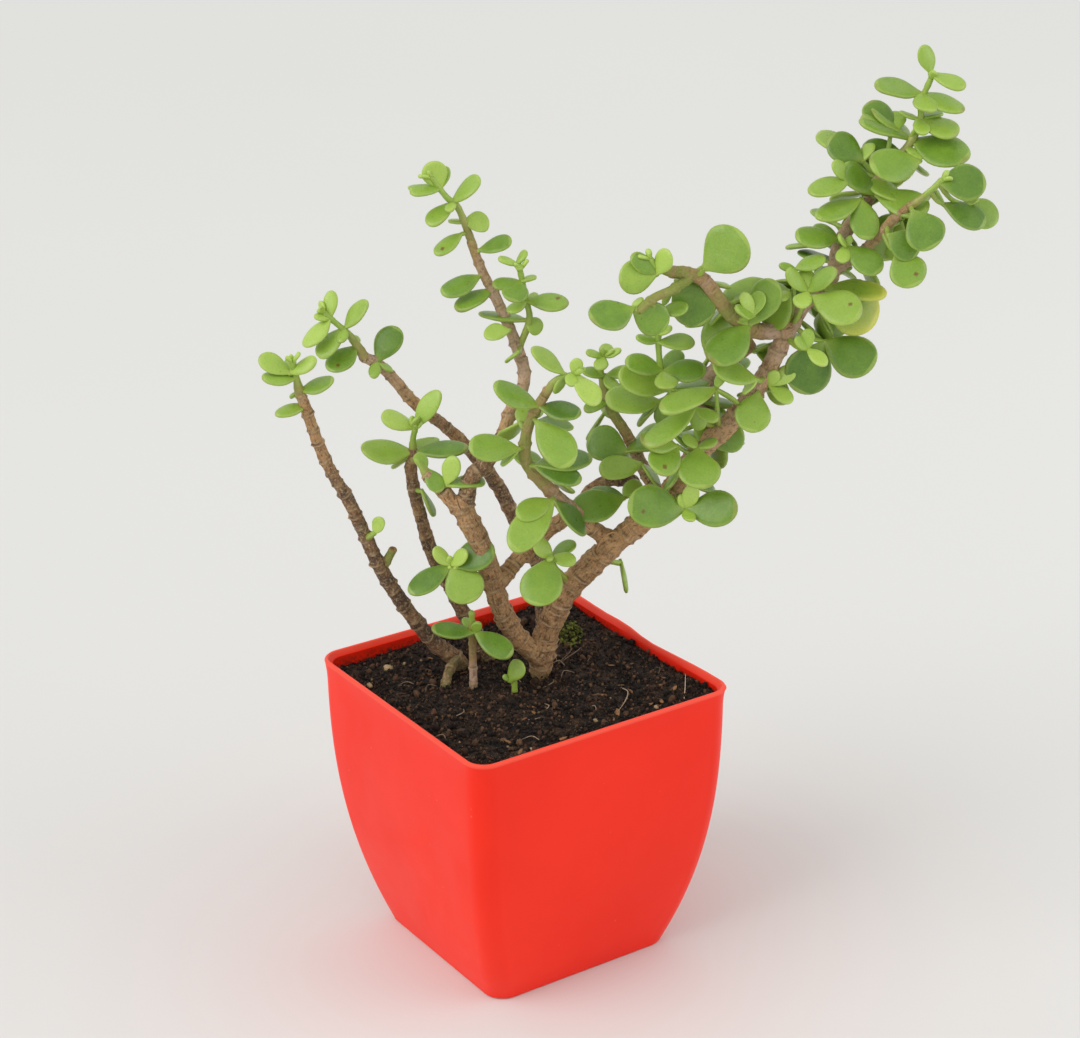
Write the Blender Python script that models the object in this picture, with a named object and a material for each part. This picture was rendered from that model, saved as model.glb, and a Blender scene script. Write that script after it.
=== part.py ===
"""Potted dwarf jade plant: a square tapered pot, its soil, the woody stems and the leafy sprigs.

All sizes are in millimetres and are turned into metres where a mesh is made.
The plant is laid out facing the -Y side and is then turned about Z by PLANT_TURN,
so that a corner of the pot comes to the front.
"""
import math

import bmesh
import bpy
from mathutils import Matrix, Vector
from mathutils.bvhtree import BVHTree

MM = 0.001

# Pot
RIM_WIDTH = 110.0
POT_HEIGHT = 108.0
BASE_TAPER = 16.0
TAPER_POWER = 2.6
CORNER_RADIUS = 8.0
CORNER_STEPS = 4
WALL = 2.2
FLOOR = 2.6
LIP_HEIGHT = 4.0
LIP_STEP = 0.6
FOOT_CHAMFER = 1.0
DRAIN_OFFSET = 22.0
DRAIN_RADIUS = 4.5
DRAIN_SIDES = 10
DRAIN_CUT_DEPTH = 7.8
WALL_LEVELS = (0.12, 0.26, 0.42, 0.6, 0.8)

# Soil
SOIL_LEVEL = 100.0
SOIL_CROWN = 1.6
SOIL_LEVELS = (0.25, 0.5, 0.75, 1.0)
# Each ring of the crown: its share of the soil's half width, and its share of the crown's rise.
CROWN_RINGS = ((0.7, 0.5), (0.35, 0.9))
GAP = 0.35

# Plant
PLANT_TURN = math.radians(56.4)
FACE_LEAN = math.radians(23.0)
STEM_SIDES = 7
SPRIG_SIDES = 6
STEM_STEP = 9.0
SPRIG_STEP = 6.0
SPRIG_RADIUS = 1.3
SPRIG_ROOT_RADIUS = 0.7
LEAF_SECTIONS = ((0.0, 0.12), (0.4, 0.84), (0.8, 0.88))
LEAF_ROOT = 0.7
LEAF_WIDTH = 0.7
LEAF_THICKNESS = 2.0
LEAF_LEAST_DEPTH = 0.35
# How much a leaf's upper face looks up, along its sprig and outward.
FACE_UP = 0.75
FACE_ALONG = 0.35
FACE_OUT = 0.45

POT_COLOUR = (0.86, 0.05, 0.03)
SOIL_COLOUR = (0.03, 0.02, 0.015)
BARK_COLOUR = (0.20, 0.12, 0.08)
LEAF_COLOUR = (0.16, 0.36, 0.05)

# Woody stems: name, the stems it grows from or meets, radius at the start and at the end, and
# points from the start.
STEMS = (
    ("trunk", None, 5.3, 2.1,
     ((4, 10, 88), (7, 11, 108), (10, 10, 122), (18, 7, 139), (31, 4, 154), (43, 1, 166),
      (51, 0, 175), (63, -2, 194), (73, -3, 204), (84, -4, 220), (91, -3, 234), (98, 0, 246),
      (108, 4, 255), (112, 8, 268), (121, 13, 280), (127, 16, 290))),
    ("left_fork", "trunk", 3.7, 3.7,
     ((7, 10, 108), (-2, 6, 119), (-8, 2, 134), (-11, -1, 147), (-13, -3, 156), (-17, -5, 167),
      (-21, -6, 177))),
    ("cut_spur", "left_fork tall_stem", 3.0, 2.4,
     ((-20, -6, 173), (-28, -4, 182), (-33, -3, 187))),
    ("tall_stem", "left_fork", 3.0, 1.5,
     ((-20, -6, 173), (-17, -5, 186), (-12, -4, 191), (-6, -1, 200), (-3, 2, 208), (2, 5, 219),
      (0, 8, 229), (-4, 10, 239), (-8, 12, 248), (-12, 13, 256), (-16, 14, 267))),
    ("back_stem", None, 3.4, 1.9,
     ((9, 46, 88), (8, 48, 112), (7, 50, 127), (1, 48, 140), (-11, 44, 167), (-24, 40, 185),
      (-38, 36, 199), (-49, 33, 214), (-56, 31, 219))),
    ("left_stem", None, 2.9, 2.1,
     ((-10, 24, 88), (-14, 24, 104), (-19, 22, 115), (-26, 20, 132), (-32, 17, 146), (-36, 14, 163),
      (-39, 12, 181), (-38, 11, 190))),
    ("far_left_stem", None, 3.0, 1.9,
     ((-21, 20, 88), (-23, 18, 102), (-32, 15, 112), (-43, 10, 130), (-51, 5, 148),
      (-60, -2, 175), (-68, -8, 195), (-75, -14, 222))),
    ("far_left_stub", "far_left_stem", 1.7, 1.5,
     ((-50, 6, 147), (-46, 4, 155))),
    ("root_arm", "far_left_stem", 1.9, 1.7,
     ((-24, 17, 105), (-27, 7, 105), (-30, -4, 97))),
    ("front_shoot", None, 1.5, 1.3,
     ((-18, -1, 90), (-18, -2, 116), (-18, -4, 129))),
    ("link_branch", "left_fork", 3.2, 2.4,
     ((-10, 0, 141), (-2, 6, 149), (3, 10, 152), (9, 14, 157), (20, 18, 164), (26, 19, 171),
      (33, 19, 175), (41, 17, 175))),
    ("front_fork", "trunk", 3.2, 1.6,
     ((33, 4, 157), (21, -2, 169), (11, -8, 182), (3, -13, 194), (2, -15, 202), (4, -17, 212),
      (10, -19, 224))),
    ("middle_stem", "trunk", 2.5, 1.7,
     ((51, 0, 175), (46, 8, 180), (42, 12, 187), (38, 14, 195), (33, 15, 203), (31, 14, 210))),
    ("cut_branch", "trunk", 2.4, 4.0,
     ((71, -3, 202), (65, 6, 207), (66, 10, 214), (70, 10, 220), (75, 9, 226), (81, 8, 231))),
    ("upper_arm", "trunk", 3.2, 2.1,
     ((94, -2, 240), (85, -4, 239), (79, -8, 242), (72, -12, 249), (68, -14, 255),
      (63, -16, 262), (57, -18, 265), (52, -20, 266))),
    ("arm_stub", "upper_arm", 1.8, 1.4,
     ((58, -18, 263), (52, -24, 261), (46, -26, 259), (41, -27, 255))),
    ("right_branch", "trunk", 2.0, 1.4,
     ((109, 5, 258), (116, 5, 262), (122, 2, 269), (128, 0, 277), (134, -2, 283))),
)

# Leafy sprigs: name, parent, points from the parent's middle, and the leaves. A leaf is its
# place along the sprig, its heading in the face plane, its lean to the front, and its length.
SPRIGS = (
    ("far_left_tip", "far_left_stem", ((-75, -14, 221), (-76, -15, 228), (-77, -16, 234)),
     ((1.0, 160, 0, 11), (1.0, 20, -35, 12), (0.95, 15, 50, 12), (0.6, 190, 20, 12),
      (0.3, 15, 20, 13), (0.25, 208, 30, 13))),
    ("far_left_bud", "far_left_stem", ((-55, 1, 161), (-52, -4, 165)),
     ((1.0, 60, 25, 7),)),
    ("back_tip", "back_stem",
     ((-55, 31, 218), (-60, 30, 227), (-66, 30, 233), (-69, 30, 236)),
     ((0.95, 90, 0, 10), (1.0, 230, 50, 9), (0.85, 225, 5, 13), (0.6, 222, 20, 15),
      (0.65, 45, 0, 13), (0.35, 222, 10, 15), (0.3, 55, -10, 15))),
    ("left_tip", "left_stem", ((-38, 11, 188), (-38, 11, 194), (-37, 10, 200)),
     ((0.95, 150, 25, 14), (0.95, 55, 0, 17), (0.4, 180, 10, 18), (0.3, 205, -50, 12),
      (0.5, 0, 0, 19))),
    ("spur_tip", "cut_spur", ((-32, -3, 186), (-36, -3, 192)),
     ((0.9, -30, 20, 14), (0.8, -100, 10, 11))),
    ("tall_tip", "tall_stem", ((-15, 14, 265), (-20, 14, 279), (-24, 14, 283), (-29, 14, 290)),
     ((1.0, 110, 0, 6), (1.0, 55, -40, 7), (0.95, 207, 30, 9), (0.9, 180, -30, 9),
      (0.65, 30, 0, 12), (0.6, 217, 0, 11), (0.45, -15, 40, 13), (0.25, 208, 0, 11),
      (0.2, 5, 0, 12))),
    ("tall_side", "tall_stem", ((0, 8, 229), (4, 8, 240), (3, 9, 247), (1, 9, 258)),
     ((1.0, 150, 35, 8), (1.0, 65, -50, 8), (0.9, 180, 65, 9), (0.8, 45, -15, 9),
      (0.62, 5, 0, 15), (0.55, 214, 50, 13), (0.4, -5, 55, 12), (0.34, 175, -55, 10))),
    ("front_left_sprig", "left_stem", ((-29, 19, 138), (-27, 10, 144), (-26, 2, 150)),
     ((0.9, 130, -15, 9), (1.0, 45, 30, 9), (1.0, 20, -10, 16), (0.5, 208, 10, 18),
      (0.6, -58, 10, 18))),
    ("front_right_sprig", "trunk", ((18, 7, 139), (12, -2, 150), (10, -8, 157)),
     ((1.0, 130, 20, 9), (1.0, 25, -40, 13), (1.0, 5, 5, 9), (0.8, -105, 15, 16))),
    ("soil_sprig", None, ((-3, -4, 92), (-3, -4, 109)),
     ((0.95, 115, 40, 7), (0.9, 65, -40, 6))),
    ("front_shoot_tip", "front_shoot", ((-18, -4, 127), (-18, -5, 134)),
     ((0.5, 190, 25, 13), (0.5, -36, 0, 15), (0.9, 145, -50, 8), (1.0, 60, 45, 6))),
    ("front_fork_tip", "front_fork", ((9, -19, 222), (15, -20, 229), (20, -20, 231)),
     ((0.75, 140, 0, 13), (0.9, 60, 45, 7), (1.0, -20, 45, 10), (1.0, -57, 20, 10),
      (0.5, -35, 20, 13), (0.5, -43, -40, 9))),
    ("front_fork_upper", "front_fork", ((4, -17, 211), (5, -23, 217)),
     ((0.95, 160, 20, 15), (0.9, -27, 10, 13))),
    ("front_fork_middle", "front_fork", ((3, -15, 200), (-1, -21, 204)),
     ((1.0, -40, 20, 20), (0.85, 175, 0, 17), (0.7, 240, 50, 9))),
    ("front_fork_lower", "front_fork", ((17, -5, 174), (11, -13, 176)),
     ((0.9, -144, 0, 20), (1.0, 157, -15, 12), (1.0, 24, 45, 14))),
    ("middle_tip", "middle_stem", ((31, 14, 208), (29, 14, 219), (30, 14, 224)),
     ((1.0, 155, 45, 7), (1.0, 45, -55, 7), (0.9, 0, 35, 8), (0.6, 20, -45, 9))),
    ("middle_sprig", "middle_stem", ((38, 14, 195), (38, 6, 199)),
     ((0.9, 200, 25, 18), (1.0, 57, -10, 12), (1.0, 215, 50, 14))),
    ("link_tip", "link_branch", ((40, 17, 175), (45, 18, 184)),
     ((1.0, 60, 10, 15), (1.0, -30, -40, 13))),
    ("upright_twig", "cut_branch", ((66, 9, 213), (57, 0, 216), (50, -6, 224), (48, -8, 240)),
     ((1.0, 117, 25, 6), (1.0, 66, 0, 6), (0.9, 173, 35, 10), (0.85, 12, -15, 12),
      (0.65, 180, 45, 12), (0.6, -25, 50, 10), (0.45, 216, 40, 13), (0.35, -25, 40, 16))),
    ("cut_branch_sprig", "cut_branch", ((67, 10, 216), (68, 3, 226)),
     ((0.9, -20, 50, 14), (1.0, 105, -55, 10), (0.9, 187, 40, 12))),
    ("trunk_leaves_1", "trunk", ((51, 0, 175), (57, -10, 181)),
     ((1.0, 187, 20, 19), (1.0, -15, 20, 19), (1.0, 59, -45, 16))),
    ("trunk_leaves_2", "trunk", ((63, -2, 194), (64, -12, 200)),
     ((1.0, 223, 45, 16), (1.0, 10, 25, 14), (1.0, 121, 55, 14), (0.9, 49, -30, 12))),
    ("trunk_leaves_3", "trunk", ((84, -4, 220), (81, -13, 221)),
     ((1.0, -110, 20, 15), (1.0, 130, 50, 17))),
    ("trunk_leaves_4", "trunk", ((91, -3, 234), (98, -7, 231)),
     ((1.0, 105, 35, 6), (1.0, -17, 35, 7), (1.0, -52, -55, 17))),
    ("trunk_leaves_5", "trunk", ((85, -4, 219), (91, -9, 219)),
     ((1.0, 53, 0, 7), (1.0, -50, 15, 7))),
    ("arm_crest", "upper_arm", ((63, -16, 262), (64, -21, 268)),
     ((1.0, 32, 35, 19), (1.0, 245, 40, 13))),
    ("arm_tip", "upper_arm", ((53, -20, 266), (47, -21, 268), (45, -21, 271)),
     ((1.0, 135, 40, 7), (1.0, 51, -45, 7), (0.8, 171, 20, 14), (0.8, -150, 45, 14))),
    ("arm_stub_tip", "arm_stub", ((42, -27, 256), (37, -27, 251)),
     ((1.0, 198, 30, 17), (0.75, -52, 35, 13))),
    ("arm_low_leaves", "upper_arm", ((79, -8, 242), (76, -15, 247)),
     ((1.0, 124, -10, 13), (1.0, 235, 10, 17), (1.0, 59, 10, 14))),
    ("arm_root_leaves", "upper_arm", ((86, -4, 239), (83, -12, 246)),
     ((1.0, 110, 45, 14), (1.0, 41, 45, 14), (1.0, 146, 40, 12))),
    ("right_tip", "right_branch", ((133, -2, 282), (139, -3, 287), (144, -3, 292)),
     ((1.0, 44, 45, 15), (0.9, 3, -35, 19), (0.8, -36, 0, 18), (0.6, -67, 10, 16),
      (0.5, -19, -40, 16))),
    ("right_leaves", "right_branch", ((127, 0, 276), (131, -8, 277)),
     ((1.0, -85, 5, 19), (0.9, 230, 35, 12), (0.8, -50, 40, 14))),
    ("trunk_leaves_6", "trunk", ((108, 4, 255), (112, -5, 253)),
     ((1.0, -13, 45, 17), (1.0, -83, 10, 19), (0.95, -169, 45, 15), (1.0, -50, -40, 15))),
    ("trunk_leaves_7", "trunk", ((109, 5, 258), (103, -3, 264)),
     ((1.0, 165, 50, 12), (1.0, 107, -20, 13), (1.0, 45, 30, 9))),
    ("trunk_leaves_8", "trunk", ((113, 9, 271), (110, 1, 278)),
     ((1.0, 173, 45, 12), (1.0, 94, 40, 12), (0.9, 198, 0, 15))),
    ("trunk_leaves_9", "trunk", ((121, 13, 280), (122, 5, 288)),
     ((0.9, -33, 40, 14), (0.85, 162, 50, 14), (1.0, 65, 25, 15), (0.95, 120, -45, 12))),
    ("trunk_tip", "trunk",
     ((126, 16, 288), (135, 18, 298), (139, 20, 307), (139, 20, 313), (142, 20, 321)),
     ((1.0, 107, 5, 11), (1.0, 53, -40, 6), (1.0, 5, 20, 11), (0.9, 170, 0, 16),
      (0.85, -15, 25, 13), (0.75, 12, -30, 8), (0.65, 166, 20, 15), (0.65, -22, 20, 12),
      (0.55, 173, 0, 16), (0.45, -13, 20, 19), (0.4, 165, -40, 18), (0.3, -37, 45, 17),
      (0.25, 153, 25, 15))),
    ("hanging_sprig", "trunk", ((29, 4, 152), (33, 7, 148), (36, 10, 146)),
     ((1.0, -76, 0, 12),)),
)


def clear_scene():
    for obj in list(bpy.data.objects):
        bpy.data.objects.remove(obj, do_unlink=True)


def make_material(name, colour, roughness):
    """A plain finish with no metal in it."""
    material = bpy.data.materials.new(name)
    material.use_nodes = True
    shader = material.node_tree.nodes["Principled BSDF"]
    shader.inputs["Base Color"].default_value = (*colour, 1.0)
    shader.inputs["Roughness"].default_value = roughness
    shader.inputs["Metallic"].default_value = 0.0
    return material


def add_object(name, bm, material=None):
    """Turn a closed bmesh in millimetres into an object in metres; no material means a cutter."""
    bmesh.ops.triangulate(bm, faces=bm.faces)
    bmesh.ops.recalc_face_normals(bm, faces=bm.faces)
    bmesh.ops.scale(bm, vec=(MM, MM, MM), verts=bm.verts)
    mesh = bpy.data.meshes.new(name)
    bm.to_mesh(mesh)
    bm.free()
    obj = bpy.data.objects.new(name, mesh)
    bpy.context.scene.collection.objects.link(obj)
    if material is None:
        obj.hide_render = True
        obj.display_type = "WIRE"
    else:
        mesh.materials.append(material)
    return obj


def add_boolean(obj, operation, operand, self_crossing=False):
    modifier = obj.modifiers.new(operation.title(), "BOOLEAN")
    modifier.operation = operation
    modifier.solver = "EXACT"
    modifier.use_self = self_crossing
    modifier.object = operand


# Lofts

def loft(bm, rings):
    """Join rings of equal length with side faces and close both ends."""
    loops = [[bm.verts.new(point) for point in ring] for ring in rings]
    count = len(loops[0])
    for lower, upper in zip(loops, loops[1:]):
        for i in range(count):
            j = (i + 1) % count
            bm.faces.new((lower[i], lower[j], upper[j], upper[i]))
    bm.faces.new(list(reversed(loops[0])))
    bm.faces.new(loops[-1])


def smooth_points(points, step):
    """Points about one step apart on a Catmull-Rom curve through the given points."""
    route = [Vector(p) for p in points]
    route = [2 * route[0] - route[1]] + route + [2 * route[-1] - route[-2]]
    result = []
    for a, b, c, d in zip(route, route[1:], route[2:], route[3:]):
        pieces = max(1, round((c - b).length / step))
        for i in range(pieces):
            t = i / pieces
            result.append(0.5 * (2 * b + (c - a) * t + (2 * a - 5 * b + 4 * c - d) * t * t
                                 + (3 * b - a - 3 * c + d) * t ** 3))
    result.append(route[-2])
    return result


def tangents(line):
    ends = [line[0]] + line + [line[-1]]
    return [(after - before).normalized() for before, after in zip(ends, ends[2:])]


def tube(line, radii, sides):
    """A closed tube along a line, with its rings turned as little as possible."""
    side = Vector((1, 0, 0))
    rings = []
    for point, tangent, radius in zip(line, tangents(line), radii):
        side = (side - side.dot(tangent) * tangent).normalized()
        across = tangent.cross(side)
        turns = [math.tau * i / sides for i in range(sides)]
        rings.append([point + radius * (math.cos(a) * side + math.sin(a) * across) for a in turns])
    bm = bmesh.new()
    loft(bm, rings)
    return bm


def lengthened(line, start, end):
    """The same line, carried on past its two ends."""
    first, last = line[0] - line[1], line[-1] - line[-2]
    return [line[0] + start * first.normalized()] + line[1:-1] + [line[-1] + end * last.normalized()]


# Pot and soil

def square_ring(half_width, height, radius=CORNER_RADIUS):
    """A square with round corners."""
    centre = half_width - radius
    ring = []
    for quarter in range(4):
        turn = Matrix.Rotation(quarter * math.pi / 2, 3, "Z")
        for step in range(CORNER_STEPS + 1):
            angle = step * math.pi / 2 / CORNER_STEPS
            corner = Vector((centre + radius * math.cos(angle), centre + radius * math.sin(angle), height))
            ring.append(turn @ corner)
    return ring


def pot_half_width(height):
    """Outer half width: a wall that stands nearly upright at the rim and bows in to the base."""
    return RIM_WIDTH / 2 - LIP_STEP - BASE_TAPER * (1 - height / POT_HEIGHT) ** TAPER_POWER


def make_pot():
    levels = [POT_HEIGHT * share for share in WALL_LEVELS]
    lip = POT_HEIGHT - LIP_HEIGHT
    bm = bmesh.new()
    rings = [square_ring(pot_half_width(0) - FOOT_CHAMFER, 0)]
    rings += [square_ring(pot_half_width(z), z) for z in [FOOT_CHAMFER] + levels + [lip]]
    rings += [square_ring(RIM_WIDTH / 2, lip + LIP_STEP)]
    rings += [square_ring(RIM_WIDTH / 2, POT_HEIGHT - LIP_STEP)]
    rings += [square_ring(RIM_WIDTH / 2 - LIP_STEP, POT_HEIGHT)]
    inner = [POT_HEIGHT] + levels[::-1] + [FLOOR]
    rings += [square_ring(pot_half_width(z) - WALL, z, CORNER_RADIUS - WALL) for z in inner]
    loft(bm, rings)
    pot = add_object("pot", bm, make_material("pot_red", POT_COLOUR, 0.38))
    add_boolean(pot, "DIFFERENCE", make_drain_cutter())
    return pot


def make_drain_cutter():
    bm = bmesh.new()
    for x in (-DRAIN_OFFSET, DRAIN_OFFSET):
        for y in (-DRAIN_OFFSET, DRAIN_OFFSET):
            place = Matrix.Translation((x, y, FLOOR / 2))
            bmesh.ops.create_cone(bm, cap_ends=True, segments=DRAIN_SIDES, radius1=DRAIN_RADIUS,
                                  radius2=DRAIN_RADIUS, depth=DRAIN_CUT_DEPTH, matrix=place)
    return add_object("drain_cutter", bm)


def make_soil(sockets):
    """The block of soil that fills the pot, a little crowned, with sockets for the stems."""
    inset = WALL + GAP
    bm = bmesh.new()
    levels = [FLOOR + GAP] + [SOIL_LEVEL * share for share in SOIL_LEVELS]
    rings = [square_ring(pot_half_width(z) - inset, z, CORNER_RADIUS - inset) for z in levels]
    for share, rise in CROWN_RINGS:
        half_width = share * (pot_half_width(SOIL_LEVEL) - inset)
        height = SOIL_LEVEL + rise * SOIL_CROWN
        rings.append(square_ring(half_width, height, CORNER_RADIUS - inset))
    loft(bm, rings)
    soil = add_object("soil", bm, make_material("soil_brown", SOIL_COLOUR, 0.95))
    for socket in sockets:
        add_boolean(soil, "DIFFERENCE", socket)
    return soil


# Stems

def turned(points):
    """Points of the plant turned to face the pot's corner."""
    turn = Matrix.Rotation(PLANT_TURN, 3, "Z")
    return [turn @ Vector(p) for p in points]


def stem_line(points, step):
    return smooth_points(turned(points), step)


def tapered(start, end, count):
    return [start + (end - start) * i / (count - 1) for i in range(count)]


def cut_by_parents(obj, parents, cutters):
    """Leave a small gap where a piece meets the stems that it grows from."""
    for parent in (parents or "").split():
        add_boolean(obj, "DIFFERENCE", cutters[parent])


def make_stems():
    """Every woody stem, and a slightly larger copy of each that cuts its neighbours."""
    bark = make_material("bark", BARK_COLOUR, 0.8)
    cutters = {}
    obstacles = []
    stems = {}
    for name, parent, start, end, points in STEMS:
        line = stem_line(points, STEM_STEP)
        radii = tapered(start, end, len(line))
        stem_material = bark.copy()
        stem_material.name = name + "_bark"
        stem = add_object(name, tube(line, radii, STEM_SIDES), stem_material)
        wider = [radius + GAP for radius in radii]
        cutter_bm = tube(lengthened(line, GAP, GAP), wider, STEM_SIDES)
        obstacles.append(BVHTree.FromBMesh(cutter_bm))
        cutters[name] = add_object(name + "_cutter", cutter_bm)
        stems[stem] = parent
    for stem, parent in stems.items():
        cut_by_parents(stem, parent, cutters)
    return cutters, obstacles


# Leaves

def leaf_axes(heading, lean, tangent):
    """The leaf's long axis, the way its upper face looks, and its width axis."""
    h, t = math.radians(heading), math.radians(lean)
    up = Vector((0, math.sin(FACE_LEAN), math.cos(FACE_LEAN)))
    front = Vector((0, -math.cos(FACE_LEAN), math.sin(FACE_LEAN)))
    along = math.cos(t) * (math.cos(h) * Vector((1, 0, 0)) + math.sin(h) * up) + math.sin(t) * front
    along = (Matrix.Rotation(PLANT_TURN, 3, "Z") @ along).normalized()
    outward = Matrix.Rotation(PLANT_TURN, 3, "Z") @ Vector((0, -FACE_OUT if lean >= 0 else FACE_OUT, 0))
    face = Vector((0, 0, FACE_UP)) + FACE_ALONG * tangent + outward
    face = (face - face.dot(along) * along).normalized()
    return along, face, along.cross(face)


def add_leaf(bm, base, axes, length, grow=0.0):
    """One thick leaf, widest past its middle; grow makes it bigger all round."""
    along, face, across = axes
    width = LEAF_WIDTH * length
    rings = []
    for place, share in LEAF_SECTIONS:
        middle = base + place * length * along
        half_width = share * width / 2 + grow
        half_depth = max(LEAF_LEAST_DEPTH, share) * LEAF_THICKNESS / 2 + grow
        rings.append([middle + half_width * across, middle + half_depth * face,
                      middle - half_width * across, middle - half_depth * face])
    loops = [[bm.verts.new(point) for point in ring] for ring in rings]
    for lower, upper in zip(loops, loops[1:]):
        for i in range(4):
            j = (i + 1) % 4
            bm.faces.new((lower[i], lower[j], upper[j], upper[i]))
    tip = bm.verts.new(base + (length + grow) * along)
    for i in range(4):
        bm.faces.new((loops[-1][i], loops[-1][(i + 1) % 4], tip))
    bm.faces.new(list(reversed(loops[0])))


def place_on(line, share):
    """The point and the tangent at a share of a line's length."""
    lengths = [(b - a).length for a, b in zip(line, line[1:])]
    target = share * sum(lengths)
    for i, length in enumerate(lengths):
        if target <= length or i == len(lengths) - 1:
            part = min(1.0, target / length)
            return line[i].lerp(line[i + 1], part), (line[i + 1] - line[i]).normalized()
        target -= length


def make_sprigs(cutters, obstacles):
    """Every green sprig with the leaves that stand clear of the stems and of the other sprigs."""
    green = make_material("leaf_green", LEAF_COLOUR, 0.4)
    lines = {}
    for name, parent, points, leaves in SPRIGS:
        lines[name] = lengthened(stem_line(points, SPRIG_STEP), 0, 1)
    trees = {}
    for name, line in lines.items():
        bm = tube(line, [SPRIG_RADIUS + GAP] * len(line), SPRIG_SIDES)
        trees[name] = [BVHTree.FromBMesh(bm)]
        bm.free()
    for name, parent, points, leaves in SPRIGS:
        line = lines[name]
        sprig_material = green.copy()
        sprig_material.name = name + "_green"
        radii = [SPRIG_ROOT_RADIUS] + [SPRIG_RADIUS] * (len(line) - 1)
        sprig = add_object(name, tube(line, radii, SPRIG_SIDES), sprig_material)
        leaf_bm = bmesh.new()
        for place, heading, lean, length in leaves:
            base, tangent = place_on(line, place)
            axes = leaf_axes(heading, lean, tangent)
            base = base - LEAF_ROOT * axes[0]
            grown = bmesh.new()
            add_leaf(grown, base, axes, length, GAP)
            tree = BVHTree.FromBMesh(grown)
            grown.free()
            others = obstacles + [t for other in trees if other != name for t in trees[other]]
            if any(tree.overlap(other) for other in others):
                continue
            trees[name].append(tree)
            add_leaf(leaf_bm, base, axes, length)
        add_boolean(sprig, "UNION", add_object(name + "_leaves", leaf_bm), True)
        cut_by_parents(sprig, parent, cutters)
        if parent is None:
            wider = tube(lengthened(line, GAP, GAP), [SPRIG_RADIUS + GAP] * len(line), SPRIG_SIDES)
            cutters[name] = add_object(name + "_cutter", wider)


def main():
    clear_scene()
    make_pot()
    cutters, obstacles = make_stems()
    make_sprigs(cutters, obstacles)
    rooted = [name for name, parent, *rest in STEMS + SPRIGS if parent is None]
    make_soil([cutters[name] for name in rooted + ["root_arm"]])


main()
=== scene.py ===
"""Looks of the potted dwarf jade plant: finish of the pot, soil, bark and leaves.

Lengths are in millimetres and become metres where a mesh is made.  The plant is laid out
facing -Y and turned about Z by PLANT_TURN, as in the CAD.
"""

import math

import bmesh
import bpy
import numpy as np
from mathutils import Matrix, Vector, noise


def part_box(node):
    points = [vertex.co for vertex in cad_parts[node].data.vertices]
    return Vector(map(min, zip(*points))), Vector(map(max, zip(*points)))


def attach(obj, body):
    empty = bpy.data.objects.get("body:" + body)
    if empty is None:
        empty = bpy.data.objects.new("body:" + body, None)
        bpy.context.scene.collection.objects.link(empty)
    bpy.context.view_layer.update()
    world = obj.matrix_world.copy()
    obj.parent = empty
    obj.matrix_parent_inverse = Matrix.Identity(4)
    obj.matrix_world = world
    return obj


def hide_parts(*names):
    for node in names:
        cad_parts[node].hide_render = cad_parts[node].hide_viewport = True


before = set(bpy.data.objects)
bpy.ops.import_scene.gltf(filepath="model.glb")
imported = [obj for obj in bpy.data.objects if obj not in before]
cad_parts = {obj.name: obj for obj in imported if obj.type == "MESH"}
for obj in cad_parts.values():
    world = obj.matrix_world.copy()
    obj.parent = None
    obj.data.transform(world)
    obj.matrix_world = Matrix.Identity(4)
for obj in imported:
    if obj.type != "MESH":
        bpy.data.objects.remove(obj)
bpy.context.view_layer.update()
random = np.random.default_rng(11)

MM = 0.001
POT_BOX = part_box("pot")
RIM_WIDTH = (POT_BOX[1].x - POT_BOX[0].x) / MM
POT_HEIGHT = POT_BOX[1].z / MM
BASE_TAPER = 16.0
TAPER_POWER = 2.6
CORNER_RADIUS = 8.0
WALL = 2.2
FLOOR = 2.6
LIP_HEIGHT = 4.0
LIP_STEP = 0.6
DRAIN_OFFSET = 22.0
DRAIN_RADIUS = 4.5
SOIL_LEVEL = 100.0
SOIL_CROWN = 1.6
PLANT_TURN = math.radians(56.4)
FACE_LEAN = math.radians(23.0)
LEAF_ROOT = 0.7

# The camera comes from a fit to the pot's corners.
CAMERA_AZIMUTH = math.radians(56.39)
CAMERA_ELEVATION = math.radians(23.09)
CAMERA_ROLL = math.radians(-0.66)
CAMERA_DISTANCE = 992.6
AIM_RIGHT = 6.95
AIM_HEIGHT = 168.0
LENS = 92.93

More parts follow.
